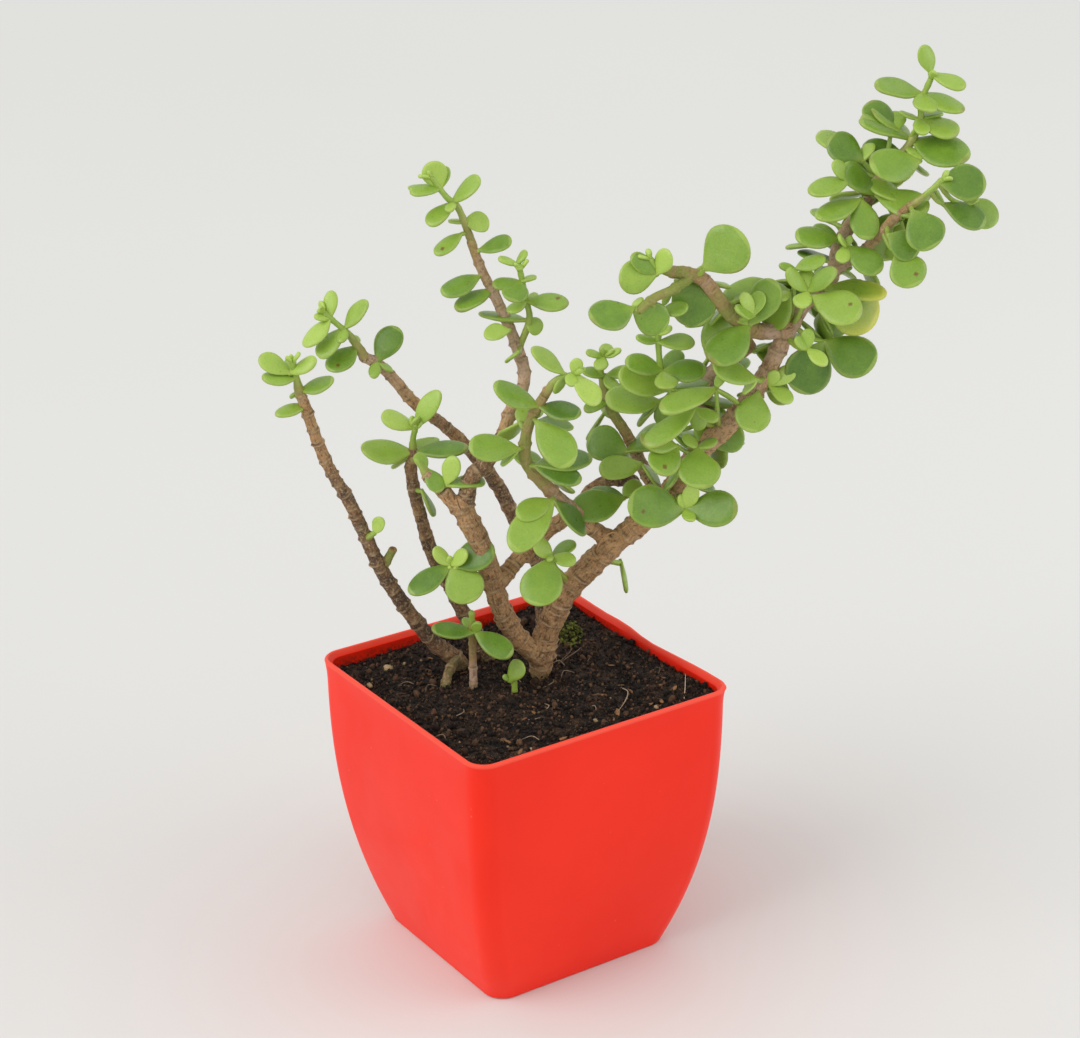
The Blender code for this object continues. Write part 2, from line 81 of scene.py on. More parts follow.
# Woody stems: name, the stems it grows from or meets, radius at the start and at the end, and
# points (right, away, up) from the start.
STEMS = (
    ("trunk", None, 5.3, 2.1,
     ((4, 10, 88), (7, 11, 108), (10, 10, 122), (18, 7, 139), (31, 4, 154), (43, 1, 166),
      (51, 0, 175), (63, -2, 194), (73, -3, 204), (84, -4, 220), (91, -3, 234), (98, 0, 246),
      (108, 4, 255), (112, 8, 268), (121, 13, 280), (127, 16, 290))),
    ("left_fork", "trunk", 3.7, 3.7,
     ((7, 10, 108), (-2, 6, 119), (-8, 2, 134), (-11, -1, 147), (-13, -3, 156), (-17, -5, 167),
      (-21, -6, 177))),
    ("cut_spur", "left_fork tall_stem", 3.0, 2.4,
     ((-20, -6, 173), (-28, -4, 182), (-33, -3, 187))),
    ("tall_stem", "left_fork", 3.0, 1.5,
     ((-20, -6, 173), (-17, -5, 186), (-12, -4, 191), (-6, -1, 200), (-3, 2, 208), (2, 5, 219),
      (0, 8, 229), (-4, 10, 239), (-8, 12, 248), (-12, 13, 256), (-16, 14, 267))),
    ("back_stem", None, 3.4, 1.9,
     ((9, 46, 88), (8, 48, 112), (7, 50, 127), (1, 48, 140), (-11, 44, 167), (-24, 40, 185),
      (-38, 36, 199), (-49, 33, 214), (-56, 31, 219))),
    ("left_stem", None, 2.9, 2.1,
     ((-10, 24, 88), (-14, 24, 104), (-19, 22, 115), (-26, 20, 132), (-32, 17, 146), (-36, 14, 163),
      (-39, 12, 181), (-38, 11, 190))),
    ("far_left_stem", None, 3.0, 1.9,
     ((-21, 20, 88), (-23, 18, 102), (-32, 15, 112), (-43, 10, 130), (-51, 5, 148),
      (-60, -2, 175), (-68, -8, 195), (-75, -14, 222))),
    ("far_left_stub", "far_left_stem", 1.7, 1.5,
     ((-50, 6, 147), (-46, 4, 155))),
    ("root_arm", "far_left_stem", 1.9, 1.7,
     ((-24, 17, 105), (-27, 7, 105), (-30, -4, 97))),
    ("front_shoot", None, 1.5, 1.3,
     ((-18, -1, 90), (-18, -2, 116), (-18, -4, 129))),
    ("link_branch", "left_fork", 3.2, 2.4,
     ((-10, 0, 141), (-2, 6, 149), (3, 10, 152), (9, 14, 157), (20, 18, 164), (26, 19, 171),
      (33, 19, 175), (41, 17, 175))),
    ("front_fork", "trunk", 3.2, 1.6,
     ((33, 4, 157), (21, -2, 169), (11, -8, 182), (3, -13, 194), (2, -15, 202), (4, -17, 212),
      (10, -19, 224))),
    ("middle_stem", "trunk", 2.5, 1.7,
     ((51, 0, 175), (46, 8, 180), (42, 12, 187), (38, 14, 195), (33, 15, 203), (31, 14, 210))),
    ("cut_branch", "trunk", 2.4, 4.0,
     ((71, -3, 202), (65, 6, 207), (66, 10, 214), (70, 10, 220), (75, 9, 226), (81, 8, 231))),
    ("upper_arm", "trunk", 3.2, 2.1,
     ((94, -2, 240), (85, -4, 239), (79, -8, 242), (72, -12, 249), (68, -14, 255),
      (63, -16, 262), (57, -18, 265), (52, -20, 266))),
    ("arm_stub", "upper_arm", 1.8, 1.4,
     ((58, -18, 263), (52, -24, 261), (46, -26, 259), (41, -27, 255))),
    ("right_branch", "trunk", 2.0, 1.4,
     ((109, 5, 258), (116, 5, 262), (122, 2, 269), (128, 0, 277), (134, -2, 283))),
)

# Leafy sprigs: name, the stem each grows from, and the points of its own green stem, if any.
SPRIGS = (
    ("far_left_tip", "far_left_stem", (-75, -14, 221), (-76, -15, 228), (-77, -16, 234)),
    ("far_left_bud", "far_left_stem", (-55, 1, 161), (-52, -4, 165)),
    ("back_tip", "back_stem", (-55, 31, 218), (-60, 30, 227), (-66, 30, 233), (-69, 30, 236)),
    ("left_tip", "left_stem", (-38, 11, 186), (-38, 11, 194), (-37, 10, 199)),
    ("spur_tip", "cut_spur", (-32, -3, 186), (-36, -3, 192)),
    ("tall_tip", "tall_stem", (-15, 14, 265), (-20, 14, 279), (-24, 14, 283), (-29, 14, 290)),
    ("tall_side", "tall_stem", (0, 8, 229), (4, 8, 240), (3, 9, 247), (1, 9, 258)),
    ("front_left_sprig", "left_stem", (-29, 19, 138), (-27, 6, 145), (-25, -5, 152)),
    ("front_right_sprig", "trunk", (18, 7, 139), (12, -2, 150), (10, -8, 157)),
    ("soil_sprig", None, (-3, -4, 92), (-3, -4, 109)),
    ("front_shoot_tip", "front_shoot", (-18, -4, 127), (-18, -5, 134)),
    ("front_fork_tip", "front_fork", (9, -19, 222), (13, -20, 228), (19, -20, 230)),
    ("front_fork_upper", "front_fork"),
    ("front_fork_middle", "front_fork"),
    ("front_fork_lower", "front_fork"),
    ("middle_tip", "middle_stem", (31, 14, 208), (29, 14, 219), (30, 14, 224)),
    ("middle_sprig", "middle_stem"),
    ("link_tip", "link_branch"),
    ("upright_twig", "cut_branch", (66, 9, 213), (57, 0, 216), (50, -6, 224), (48, -8, 240)),
    ("cut_branch_sprig", "cut_branch"),
    ("trunk_leaves_1", "trunk"),
    ("trunk_leaves_2", "trunk"),
    ("trunk_leaves_3", "trunk"),
    ("trunk_leaves_4", "trunk"),
    ("trunk_leaves_5", "trunk"),
    ("arm_crest", "upper_arm"),
    ("arm_tip", "upper_arm", (53, -20, 266), (47, -21, 268), (45, -21, 271)),
    ("arm_stub_tip", "arm_stub"),
    ("arm_low_leaves", "upper_arm"),
    ("arm_root_leaves", "upper_arm"),
    ("right_tip", "right_branch", (133, -2, 282), (139, -3, 287), (144, -3, 292)),
    ("right_leaves", "right_branch"),
    ("trunk_leaves_6", "trunk"),
    ("trunk_leaves_7", "trunk"),
    ("trunk_leaves_8", "trunk"),
    ("trunk_leaves_9", "trunk"),
    ("trunk_tip", "trunk", (126, 16, 288), (135, 18, 298), (139, 20, 307), (139, 20, 313),
     (142, 20, 321)),
    ("hanging_sprig", "trunk", (29, 4, 152), (33, 7, 148), (36, 10, 146)),
)

# Leaves set straight on a sprig: share of its length, heading, lean and length.
OWN_LEAVES = {
    "far_left_bud": ((1.0, 60, 25, 7),),
}

# Leaf clusters: the place of each, and its leaves.  A leaf is its heading in the face plane, its
# lean to the front, its length and, if given, its width as a share of the length, how far it
# faces the front, and its kind.  The places here, in STEMS and in SPRIGS are converted
# measurements, rounded; no rule works them out.
CLUSTERS = {
    "far_left_tip": (
        ((-78, -16, 230), (152, 5, 12, 0.5, None, "fresh"), (95, -40, 8, 0.6),
         (28, 25, 11, 0.42, None, "fresh")),
        ((-76, -15, 228), (-180, 20, 12, 0.42, None, "fresh")),
        ((-75, -14, 223), (15, 15, 13, 0.45), (-155, -45, 6, 0.6)),
        ((-73, -12, 217), (-165, 25, 12, 0.55, 0.35)),
    ),
    "back_tip": (
        ((-67, 30, 234), (90, 0, 10, 0.55, 0.6, "young"), (-130, 10, 14, 0.42, None, "young"),
         (170, 20, 6, 0, None, "young")),
        ((-62, 30, 230), (50, 5, 13, 0.62, 0.5), (-138, 10, 14, 0.42, None, "fresh"),
         (-100, 40, 7, 0.6)),
        ((-58, 31, 223), (-135, 15, 14, 0.75, 0.6, "spot"), (110, -40, 6, 0.7)),
        ((-51, 31, 217), (62, 5, 14.5, 0.7, 0.55, "dark"), (-35, -20, 7, 0.6), (-105, 30, 7, 0.5)),
    ),
    "tall_tip": (
        ((-26, 14, 286), (-175, 20, 11, 0.6, None, "fresh"), (110, 15, 10, 0.9, 0.7, "fresh"),
         (80, -20, 9, 0.5, None, "fresh"), (170, -20, 12, 0, None, "fresh")),
        ((-22, 14, 281), (40, 10, 13, 0.42, None, "fresh"), (-135, 15, 12, 0.42),
         (-105, 55, 7, 0.6)),
        ((-18, 14, 274), (0, -15, 9, 0.95, 0.8), (170, -40, 7, 0.6)),
        ((-19, 13, 270), (-145, 10, 12, 0.6, 0.4, "spot")),
        ((-13, 13, 264), (15, 10, 12, 0.5)),
        ((-13, 12, 255), (-155, 10, 15, 0.45)),
        ((-9, 12, 250), (-150, 15, 15, 0.5)),
    ),
    "tall_side": (
        ((0, 9, 260), (160, 20, 7, 0.6, None, "fresh"), (60, -10, 6, 0.4, None, "fresh"),
         (-60, 50, 4, 0, None, "fresh")),
        ((1, 8, 254), (178, 5, 8, 0.3), (-172, 15, 10, 0.6, 0.5, "dark"),
         (-112, 45, 10.5, 0.9, 0.8, "dark"), (25, -30, 7, 0.6)),
        ((3, 8, 247), (0, 10, 15, 0.62, 0.5, "spot"), (-150, 20, 8, 0.7), (40, -40, 6, 0.7)),
        ((3, 8, 240), (-35, -20, 7, 1.0, 0.8), (170, -25, 18, 0.6)),
        ((-3, 3, 238), (-175, 0, 9, 0.8, 0.5)),
        ((0, 0, 231), (-150, -40, 7, 0.8, None, "dark")),
    ),
    "soil_sprig": (
        ((-5, -4, 106), (60, 20, 9, 0.95, 0.5, "fresh"), (135, 20, 3, 0.8, None, "fresh")),
    ),
    "front_shoot_tip": (
        ((-17, -5, 126), (175, 15, 16, 0.5, 0.2, "dark"), (-30, 15, 16, 0.6, 0.4, "dark"),
         (125, -40, 8, 0, None, "fresh"), (70, 40, 5, 0, None, "fresh")),
    ),
    "right_leaves": (
        ((134, -6, 282), (-60, 15, 15, 0.95, 0.8, "dark")),
        ((126, -7, 274), (-30, 5, 12, 0.95, 0.8, "dark")),
        ((129, -8, 268), (-60, 20, 13.5, 1.0, 0.85, "spot")),
        ((131, 4, 278), (70, -30, 6, 0.9), (-115, -30, 18, 0.8)),
    ),
    "right_tip": (
        ((143, -3, 291), (0, 0, 16, 0.9, 0.8, "dark"), (-135, -30, 8, 0.8)),
        ((145, -1, 283), (-25, 5, 16, 0.7, 0.6, "dark"), (115, -20, 6, 0.7)),
        ((152, 2, 282), (-25, -10, 14, 0.85, 0.7), (15, 20, 6, 0, None, "fresh")),
    ),
    "trunk_leaves_8": (
        ((123, 8, 284), (-20, 25, 20, 0.62, 0.5), (140, 20, 16, 0.62, 0.5), (25, -30, 7, 0.7)),
        ((114, 6, 290), (-160, 15, 16, 0.45), (140, 20, 9, 0.7, 0.6)),
        ((119, 14, 294), (145, 0, 14, 0.85, 0.7, "dark"), (145, -25, 20, 0.65), (65, -20, 8, 0.7)),
    ),
    "trunk_leaves_7": (
        ((118, 6, 283), (-155, 20, 19, 0.5, 0.4), (-85, 20, 15, 0.7, 0.5)),
        ((117, 14, 275), (-35, -10, 15, 0.7, 0.5), (130, -10, 7, 0.6)),
    ),
    "trunk_leaves_9": (
        ((138, 10, 295), (-170, 30, 20, 0.72, 0.65), (110, -40, 8, 0.8)),
        ((128, 24, 288), (140, -20, 12, 0.8), (-40, -25, 7, 0.9)),
        ((129, 20, 302), (120, -10, 14, 0.85, 0.6, "dark"), (150, 15, 12, 0.6), (70, -30, 10, 0.8)),
    ),
    "left_tip": (
        ((-37, 11, 199), (155, 15, 13, 0.7, None, "young"), (60, 15, 16, 0.5, 0.5, "young"),
         (80, 50, 6, 0, None, "young")),
        ((-38, 11, 190), (180, 15, 19, 0.66, 0.5), (5, 10, 20, 0.5, 0.3), (-145, -30, 11, 0.7),
         (40, -45, 13, 0.7)),
        ((-35, 8, 176), (-65, -30, 11, 0.75)),
    ),
    "spur_tip": (
        ((-33, -3, 189), (-55, 10, 10, 0.5), (120, -20, 7, 0, None, "fresh")),
        ((-26, -6, 184), (70, 15, 11, 0.55, None, "young"), (10, -10, 14, 0.5)),
    ),
    "front_left_sprig": (
        ((-25, -6, 153), (135, 15, 9, 0.65, None, "young"), (40, 30, 9, 0.5, None, "young"),
         (22, 5, 17, 0.72, 0.55, "dark"), (-150, 10, 18, 0.55, 0.3, "dark"),
         (-58, 12, 15.5, 0.92, 0.85)),
    ),
    "front_right_sprig": (
        ((11, -9, 157), (135, 20, 9, 0.75, 0.6, "young"), (-10, 20, 9, 0.65, 0.6, "young"),
         (35, -25, 11, 0.65), (-110, 15, 19, 0.8, 0.85)),
    ),
    "front_fork_lower": (
        ((12, -12, 180), (-135, 20, 24, 0.52, 0.45), (-160, 15, 15, 0.6),
         (-45, -20, 17, 0.7, None, "dark")),
    ),
    "front_fork_middle": (
        ((6, -20, 213), (-50, 20, 21, 0.62, 0.65), (-5, -20, 14, 0.5)),
        ((5, -16, 195), (-20, 15, 18, 0.5, 0.3, "dark"), (10, -10, 21, 0.7, None, "dark")),
        ((0, -18, 202), (175, 15, 18, 0.62, 0.5), (-145, -20, 9, 0.6)),
    ),
    "front_fork_upper": (
        ((7, -19, 218), (155, 15, 18, 0.6, 0.5), (-10, 10, 15, 0.55, None, "dark")),
    ),
    "front_fork_tip": (
        ((16, -20, 230), (140, 15, 15, 0.6, 0.4, "fresh"), (-120, -25, 8, 0.6)),
        ((19, -20, 230), (70, 20, 6, 0.8, 0.7, "young"), (-50, 20, 14, 0.5, None, "young"),
         (35, -20, 5, 0, None, "young"), (-110, 50, 6, 0, None, "young")),
    ),
    "hanging_sprig": (
        ((36, 10, 147), (-75, 0, 12, 0.7, "side")),
    ),
    "arm_crest": (
        ((63, -20, 267), (40, 20, 18, 0.98, 0.85)),
        ((54, -14, 261), (-55, -15, 18, 0.85, 0.7, "dark"), (-120, -30, 10, 0.7)),
    ),
    "arm_tip": (
        ((47, -22, 266), (-175, 10, 13, 0.9, 0.8), (145, 20, 11, 0.6),
         (65, 30, 10, 0, None, "young"), (45, -40, 8, 0, None, "fresh")),
    ),
    "arm_stub_tip": (
        ((39, -27, 256), (-160, 20, 16, 0.85, 0.7), (-30, -25, 14, 0.85, 0.8), (50, -40, 6)),
        ((48, -20, 252), (10, 10, 10, 0.4)),
    ),
    "arm_low_leaves": (
        ((79, -12, 244), (60, 15, 18, 0.45), (130, 10, 11, 0.6, None, "fresh"),
         (-135, 25, 20, 0.45), (-155, -20, 18, 0.95, 0.8)),
        ((80, -16, 249), (115, 20, 9, 0.6, None, "fresh"), (70, -10, 9, 0.5),
         (165, 45, 9, 0, None, "fresh")),
    ),
    "arm_root_leaves": (
        ((93, -6, 254), (-180, -5, 23, 0.6, 0.5), (160, -25, 18, 0.6), (-125, -35, 16, 0.9, 0.8),
         (-150, 40, 8, 0, None, "young")),
        ((99, -10, 255), (135, 15, 11, 0.6, None, "fresh"), (40, 20, 13, 0.6, None, "fresh"),
         (95, -20, 9, 0, None, "fresh"), (-130, 50, 10, 0, None, "young")),
        ((95, -6, 262), (165, 10, 6, 0.45, None, "fresh"), (25, 0, 11, 0.4, None, "fresh")),
    ),
    "trunk_leaves_4": (
        ((100, -12, 254), (-20, 25, 19, 0.75, 0.6, "spot")),
        ((106, -2, 254), (-32, -15, 22, 0.95, 0.8, "yellow"), (-8, 5, 21, 0.45, 0.3, "yellow")),
        ((105, 2, 244), (-35, -15, 12, 0.9, 0.7), (-80, -30, 13, 0.8)),
    ),
    "trunk_leaves_5": (
        ((106, -4, 235), (-30, 5, 19, 0.86, 0.85, "dark"), (-120, -10, 20, 0.85, 0.85, "dark")),
        ((99, -14, 236), (145, 35, 7, 0.4, None, "young"), (-40, 20, 9, 0, None, "young"),
         (85, 10, 7, 0.3, None, "young")),
    ),
    "trunk_leaves_6": (
        ((113, 0, 268), (-40, 20, 15, 0.7, 0.6), (140, 50, 7, 0, None, "young"),
         (70, 0, 4, 0, None, "young"), (-115, 40, 8, 0, None, "young")),
        ((110, 2, 270), (175, 20, 16, 0.55), (140, -20, 10, 0.5)),
        ((119, 12, 260), (-55, -20, 13, 0.8)),
    ),
    "trunk_leaves_1": (
        ((58, -14, 177), (175, 20, 22, 0.7, 0.7, "spot"), (0, 20, 19, 0.7, 0.7),
         (70, 30, 10, 0.5, None, "young"), (115, 20, 6, 0.5, None, "young"),
         (-70, 50, 7, 0, None, "young")),
    ),
    "trunk_leaves_2": (
        ((62, -12, 199), (-90, 35, 16, 0.95, 0.7), (130, -10, 7, 0.8), (25, -20, 8, 0.6)),
        ((56, -8, 189), (-30, -15, 15, 0.75, None, "dark"), (-130, -30, 11, 0.8)),
        ((55, -12, 200), (-135, 30, 14, 0.85, 0.7, "spot"), (170, 20, 14, 0.5)),
        ((68, -2, 196), (25, 0, 12, 0.95, 0.8), (125, 10, 10, 0.95, 0.5)),
    ),
    "trunk_leaves_3": (
        ((83, -8, 218), (-105, 20, 15, 0.85, 0.75)),
        ((82, -14, 225), (165, 25, 18, 0.62, 0.4), (-140, -20, 7, 0.8)),
        ((87, -6, 220), (35, 15, 11, 0.6, None, "young"), (-40, 10, 10, 0.35, None, "young"),
         (65, 40, 7, 0, None, "young")),
    ),
    "cut_branch_sprig": (
        ((68, -14, 222), (-160, 25, 23, 0.5, 0.35), (-30, -30, 11, 0.7), (65, -20, 7, 0.6)),
        ((61, -12, 214), (-145, 25, 23, 0.45, 0.35), (-30, 10, 9, 0.6), (-75, -30, 9, 0.7)),
        ((52, -6, 204), (-165, 10, 9, 0.5, None, "dark"), (-35, -10, 10, 0.6)),
    ),
    "trunk_tip": (
        ((142, 20, 323), (105, 10, 10, 0.7, None, "fresh"), (-30, 15, 13, 0.6, None, "fresh")),
        ((139, 20, 316), (170, 10, 17, 0.45), (-80, 45, 10, 0.9), (-25, 10, 16, 0.5),
         (-20, -40, 8, 0.6)),
        ((138, 20, 307), (-20, 15, 15, 0.8), (-75, 50, 9, 0, None, "young"), (150, -20, 7, 0.7),
         (20, -30, 11, 0.7)),
        ((136, 20, 300), (160, 15, 20, 0.5, 0.4), (-25, 20, 22, 0.75, 0.7), (130, -25, 20, 0.85),
         (60, 45, 8, 0, None, "young")),
        ((132, 18, 296), (165, -10, 13, 0.8, 0.6, "dark"), (-35, -25, 14, 0.8), (-75, -35, 8, 0.8)),
    ),
    "upright_twig": (
        ((48, -8, 240), (110, 25, 8, 0, None, "young"), (20, 30, 6, 0.5, None, "young"),
         (60, -30, 5, 0, None, "young")),
        ((48, -8, 237), (165, 15, 8, 0.45, None, "fresh"), (0, 10, 13, 0.4, None, "fresh"),
         (100, -50, 7, 0.6)),
        ((50, -8, 226), (160, 15, 14, 0.5), (-70, 55, 10, 0.85, 0.2), (5, 5, 15, 0.5),
         (50, -35, 12, 0.6)),
        ((52, -4, 218), (165, 15, 19, 0.45), (10, -10, 15, 0.6), (-35, -25, 15, 0.7)),
        ((49, -2, 213), (180, 20, 20, 0.42), (-135, -20, 12, 0.7, None, "dark"),
         (-70, -30, 10, 0.7, None, "dark")),
    ),
    "middle_tip": (
        ((30, 14, 224), (165, 25, 7, 0.5, None, "young"), (20, 15, 7, 0.5, None, "young"),
         (-110, 50, 8, 0, None, "young"), (70, -40, 7, 0, None, "young")),
        ((31, 14, 217), (170, 10, 9, 0.5, None, "fresh"), (15, 15, 10, 0.45, None, "fresh"),
         (-65, 40, 8, 0.7)),
        ((32, 14, 208), (-160, 10, 10, 0.6), (-5, 10, 15, 0.4, None, "dark"), (40, -30, 12, 0.6)),
    ),
    "middle_sprig": (
        ((38, 6, 191), (160, -5, 15, 0.9, 0.7, "dark"), (25, -20, 15, 0.8)),
        ((43, 2, 188), (-170, 20, 16, 0.5), (-45, -20, 11, 0.8)),
    ),
    "link_tip": (
        ((37, 4, 174), (-165, 20, 20, 0.5), (160, -15, 13, 0.6, None, "dark"), (50, -30, 10, 0.7)),
    ),
}

# Leaves on the far side of a sprig's stem: where they start and end along it, and how many pairs.
BACK_LEAVES = {
    "trunk_leaves_2": (0.5, 0.68, 5),
    "trunk_leaves_6": (0.7, 0.86, 6),
    "trunk_leaves_8": (0.86, 1.0, 5),
    "arm_crest": (0.3, 0.95, 4),
    "right_leaves": (0.3, 1.0, 3),
    "cut_branch_sprig": (0.2, 0.8, 3),
    "middle_sprig": (0.3, 0.9, 2),
    "front_fork_middle": (0.4, 0.9, 2),
}


# Mesh building

class Shape:
    """Vertices, faces and named point values of one piece."""

    def __init__(self):
        self.points = []
        self.faces = []
        self.values = {}
        self.count = 0

    def add(self, points, faces, **values):
        points = np.asarray(points, dtype=float)
        for key in values:
            self.values.setdefault(key, [np.zeros(self.count)] if self.count else [])
        for key, parts in self.values.items():
            value = values.get(key, 0.0)
            parts.append(np.broadcast_to(np.asarray(value, dtype=float), (len(points),)))
        self.faces += [[i + self.count for i in face] for face in faces]
        self.points.append(points)
        self.count += len(points)

    def build(self, name, material, node, slot, sharp=None):
        mesh = bpy.data.meshes.new(name)
        mesh.from_pydata((np.concatenate(self.points) * MM).tolist(), [], self.faces)
        for key, parts in self.values.items():
            layer = mesh.attributes.new(key, "FLOAT", "POINT")
            layer.data.foreach_set("value", np.concatenate(parts).astype(np.float32))
        mesh.polygons.foreach_set("use_smooth", [True] * len(mesh.polygons))
        if sharp is not None:
            mesh.set_sharp_from_angle(angle=math.radians(sharp))
        mesh.materials.append(material)
        mesh.update()
        obj = bpy.data.objects.new(name, mesh)
        bpy.context.scene.collection.objects.link(obj)
        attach(obj, "root")
        if node:
            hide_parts(node)
        return obj


def ring_faces(rings, sides, last_cap=True):
    """Quads between rings of equal length, with the first end closed and, if asked, the last."""
    faces = []
    for r in range(rings - 1):
        for i in range(sides):
            j = (i + 1) % sides
            faces.append([r * sides + i, r * sides + j, (r + 1) * sides + j, (r + 1) * sides + i])
    faces.append(list(range(sides))[::-1])
    if last_cap:
        faces.append([(rings - 1) * sides + i for i in range(sides)])
    return faces


def smooth_points(points, step):
    """Points about one step apart on a Catmull-Rom curve through the given points."""
    route = [Vector(p) for p in points]
    route = [2 * route[0] - route[1]] + route + [2 * route[-1] - route[-2]]
    result = []
    for a, b, c, d in zip(route, route[1:], route[2:], route[3:]):
        pieces = max(1, round((c - b).length / step))
        for i in range(pieces):
            t = i / pieces
            result.append(0.5 * (2 * b + (c - a) * t + (2 * a - 5 * b + 4 * c - d) * t * t
                                 + (3 * b - a - 3 * c + d) * t ** 3))
    result.append(route[-2])
    return result


def tangents(line):
    ends = [line[0]] + line + [line[-1]]
    return [(after - before).normalized() for before, after in zip(ends, ends[2:])]


def turned(points):
    """Points given right, away and up, turned to where the plant stands in the pot."""
    turn = Matrix.Rotation(PLANT_TURN, 3, "Z")
    return [turn @ Vector(p) for p in points]


def stem_line(points, step):
    return smooth_points(turned(points), step)


def frames_along(line):
    """A side axis and an across axis at each point, turned as little as possible."""
    side = Vector((1, 0, 0))
    axes = []
    for tangent in tangents(line):
        side = (side - side.dot(tangent) * tangent).normalized()
        axes.append((side.copy(), tangent.cross(side)))
    return axes


def rough(point, scale, seed):
    return noise.noise(Vector(point) * scale + Vector((seed, seed, seed)))


# Shader building

def linear(red, green, blue):
    """A colour given from 0 to 255 as it looks on a screen."""
    values = [c / 255 for c in (red, green, blue)]
    return [c / 12.92 if c <= 0.04045 else ((c + 0.055) / 1.055) ** 2.4 for c in values] + [1.0]


class Paint:
    """A node material in the making."""

    def __init__(self, name, **sockets):
        self.material = bpy.data.materials.new(name)
        self.material.use_nodes = True
        self.tree = self.material.node_tree
        self.shader = self.tree.nodes["Principled BSDF"]
        self.colour = None
        for key, value in sockets.items():
            self.shader.inputs[key.replace("_", " ")].default_value = value

    def put(self, socket, value):
        if isinstance(value, bpy.types.NodeSocket):
            self.tree.links.new(value, socket)
        else:
            socket.default_value = value

    def node(self, kind, settings=None, **inputs):
        node = self.tree.nodes.new("ShaderNode" + kind)
        for key, value in (settings or {}).items():
            setattr(node, key, value)
        for key, value in inputs.items():
            self.put(node.inputs[key.replace("_", " ")], value)
        return node

    def value(self, name):
        """A value that the mesh carries at its points."""
        return self.node("Attribute", {"attribute_name": name}).outputs["Fac"]

    def noise(self, scale, detail=3.0, roughness=0.55, distortion=0.0, vector=None):
        node = self.node("TexNoise", Scale=scale, Detail=detail, Roughness=roughness,
                         Distortion=distortion)
        self.put(node.inputs["Vector"], vector or self.place())
        return node.outputs["Fac"]

    def cells(self, scale):
        node = self.node("TexVoronoi", Scale=scale)
        self.put(node.inputs["Vector"], self.place())
        return node.outputs["Distance"]

    def place(self):
        return self.node("TexCoord").outputs["Object"]

    def math(self, operation, a, b):
        node = self.node("Math", {"operation": operation})
        self.put(node.inputs[0], a)
        self.put(node.inputs[1], b)
        return node.outputs[0]

    def plus(self, a, b):
        return self.math("ADD", a, b)

    def minus(self, a, b):
        return self.math("SUBTRACT", a, b)

    def times(self, a, b):
        return self.math("MULTIPLY", a, b)

    def span(self, value, low, high, new_low=0.0, new_high=1.0):
        """A value moved from one range into another and kept inside it."""
        node = self.node("MapRange")
        for i, part in enumerate((value, low, high, new_low, new_high)):
            self.put(node.inputs[i], part)
        return node.outputs[0]

    def mix(self, share, a, b):
        """Colour b over colour a by a share."""
        node = self.node("Mix", {"data_type": "RGBA"})
        self.put(node.inputs[0], share)
        self.put(node.inputs[6], a)
        self.put(node.inputs[7], b)
        return node.outputs[2]

    def ramp(self, value, *stops):
        """A colour ramp through (place, colour) stops."""
        node = self.node("ValToRGB")
        ramp = node.color_ramp
        while len(ramp.elements) < len(stops):
            ramp.elements.new(1.0)
        for element, (place, colour) in zip(ramp.elements, stops):
            element.position = place
            element.color = colour
        self.put(node.inputs[0], value)
        return node.outputs[0]

    def bump(self, height, strength, distance):
        node = self.node("Bump", Height=height, Strength=strength, Distance=distance * MM)
        return node.outputs["Normal"]

    def lay(self, share, red, green, blue):
        """Lay a colour over the one so far, by a share."""
        self.colour = self.mix(share, self.colour, linear(red, green, blue))

    def finish(self, roughness=None, normal=None):
        self.put(self.shader.inputs["Base Color"], self.colour)
        if roughness is not None:
            self.put(self.shader.inputs["Roughness"], roughness)
        if normal is not None:
            self.put(self.shader.inputs["Normal"], normal)
        return self.material


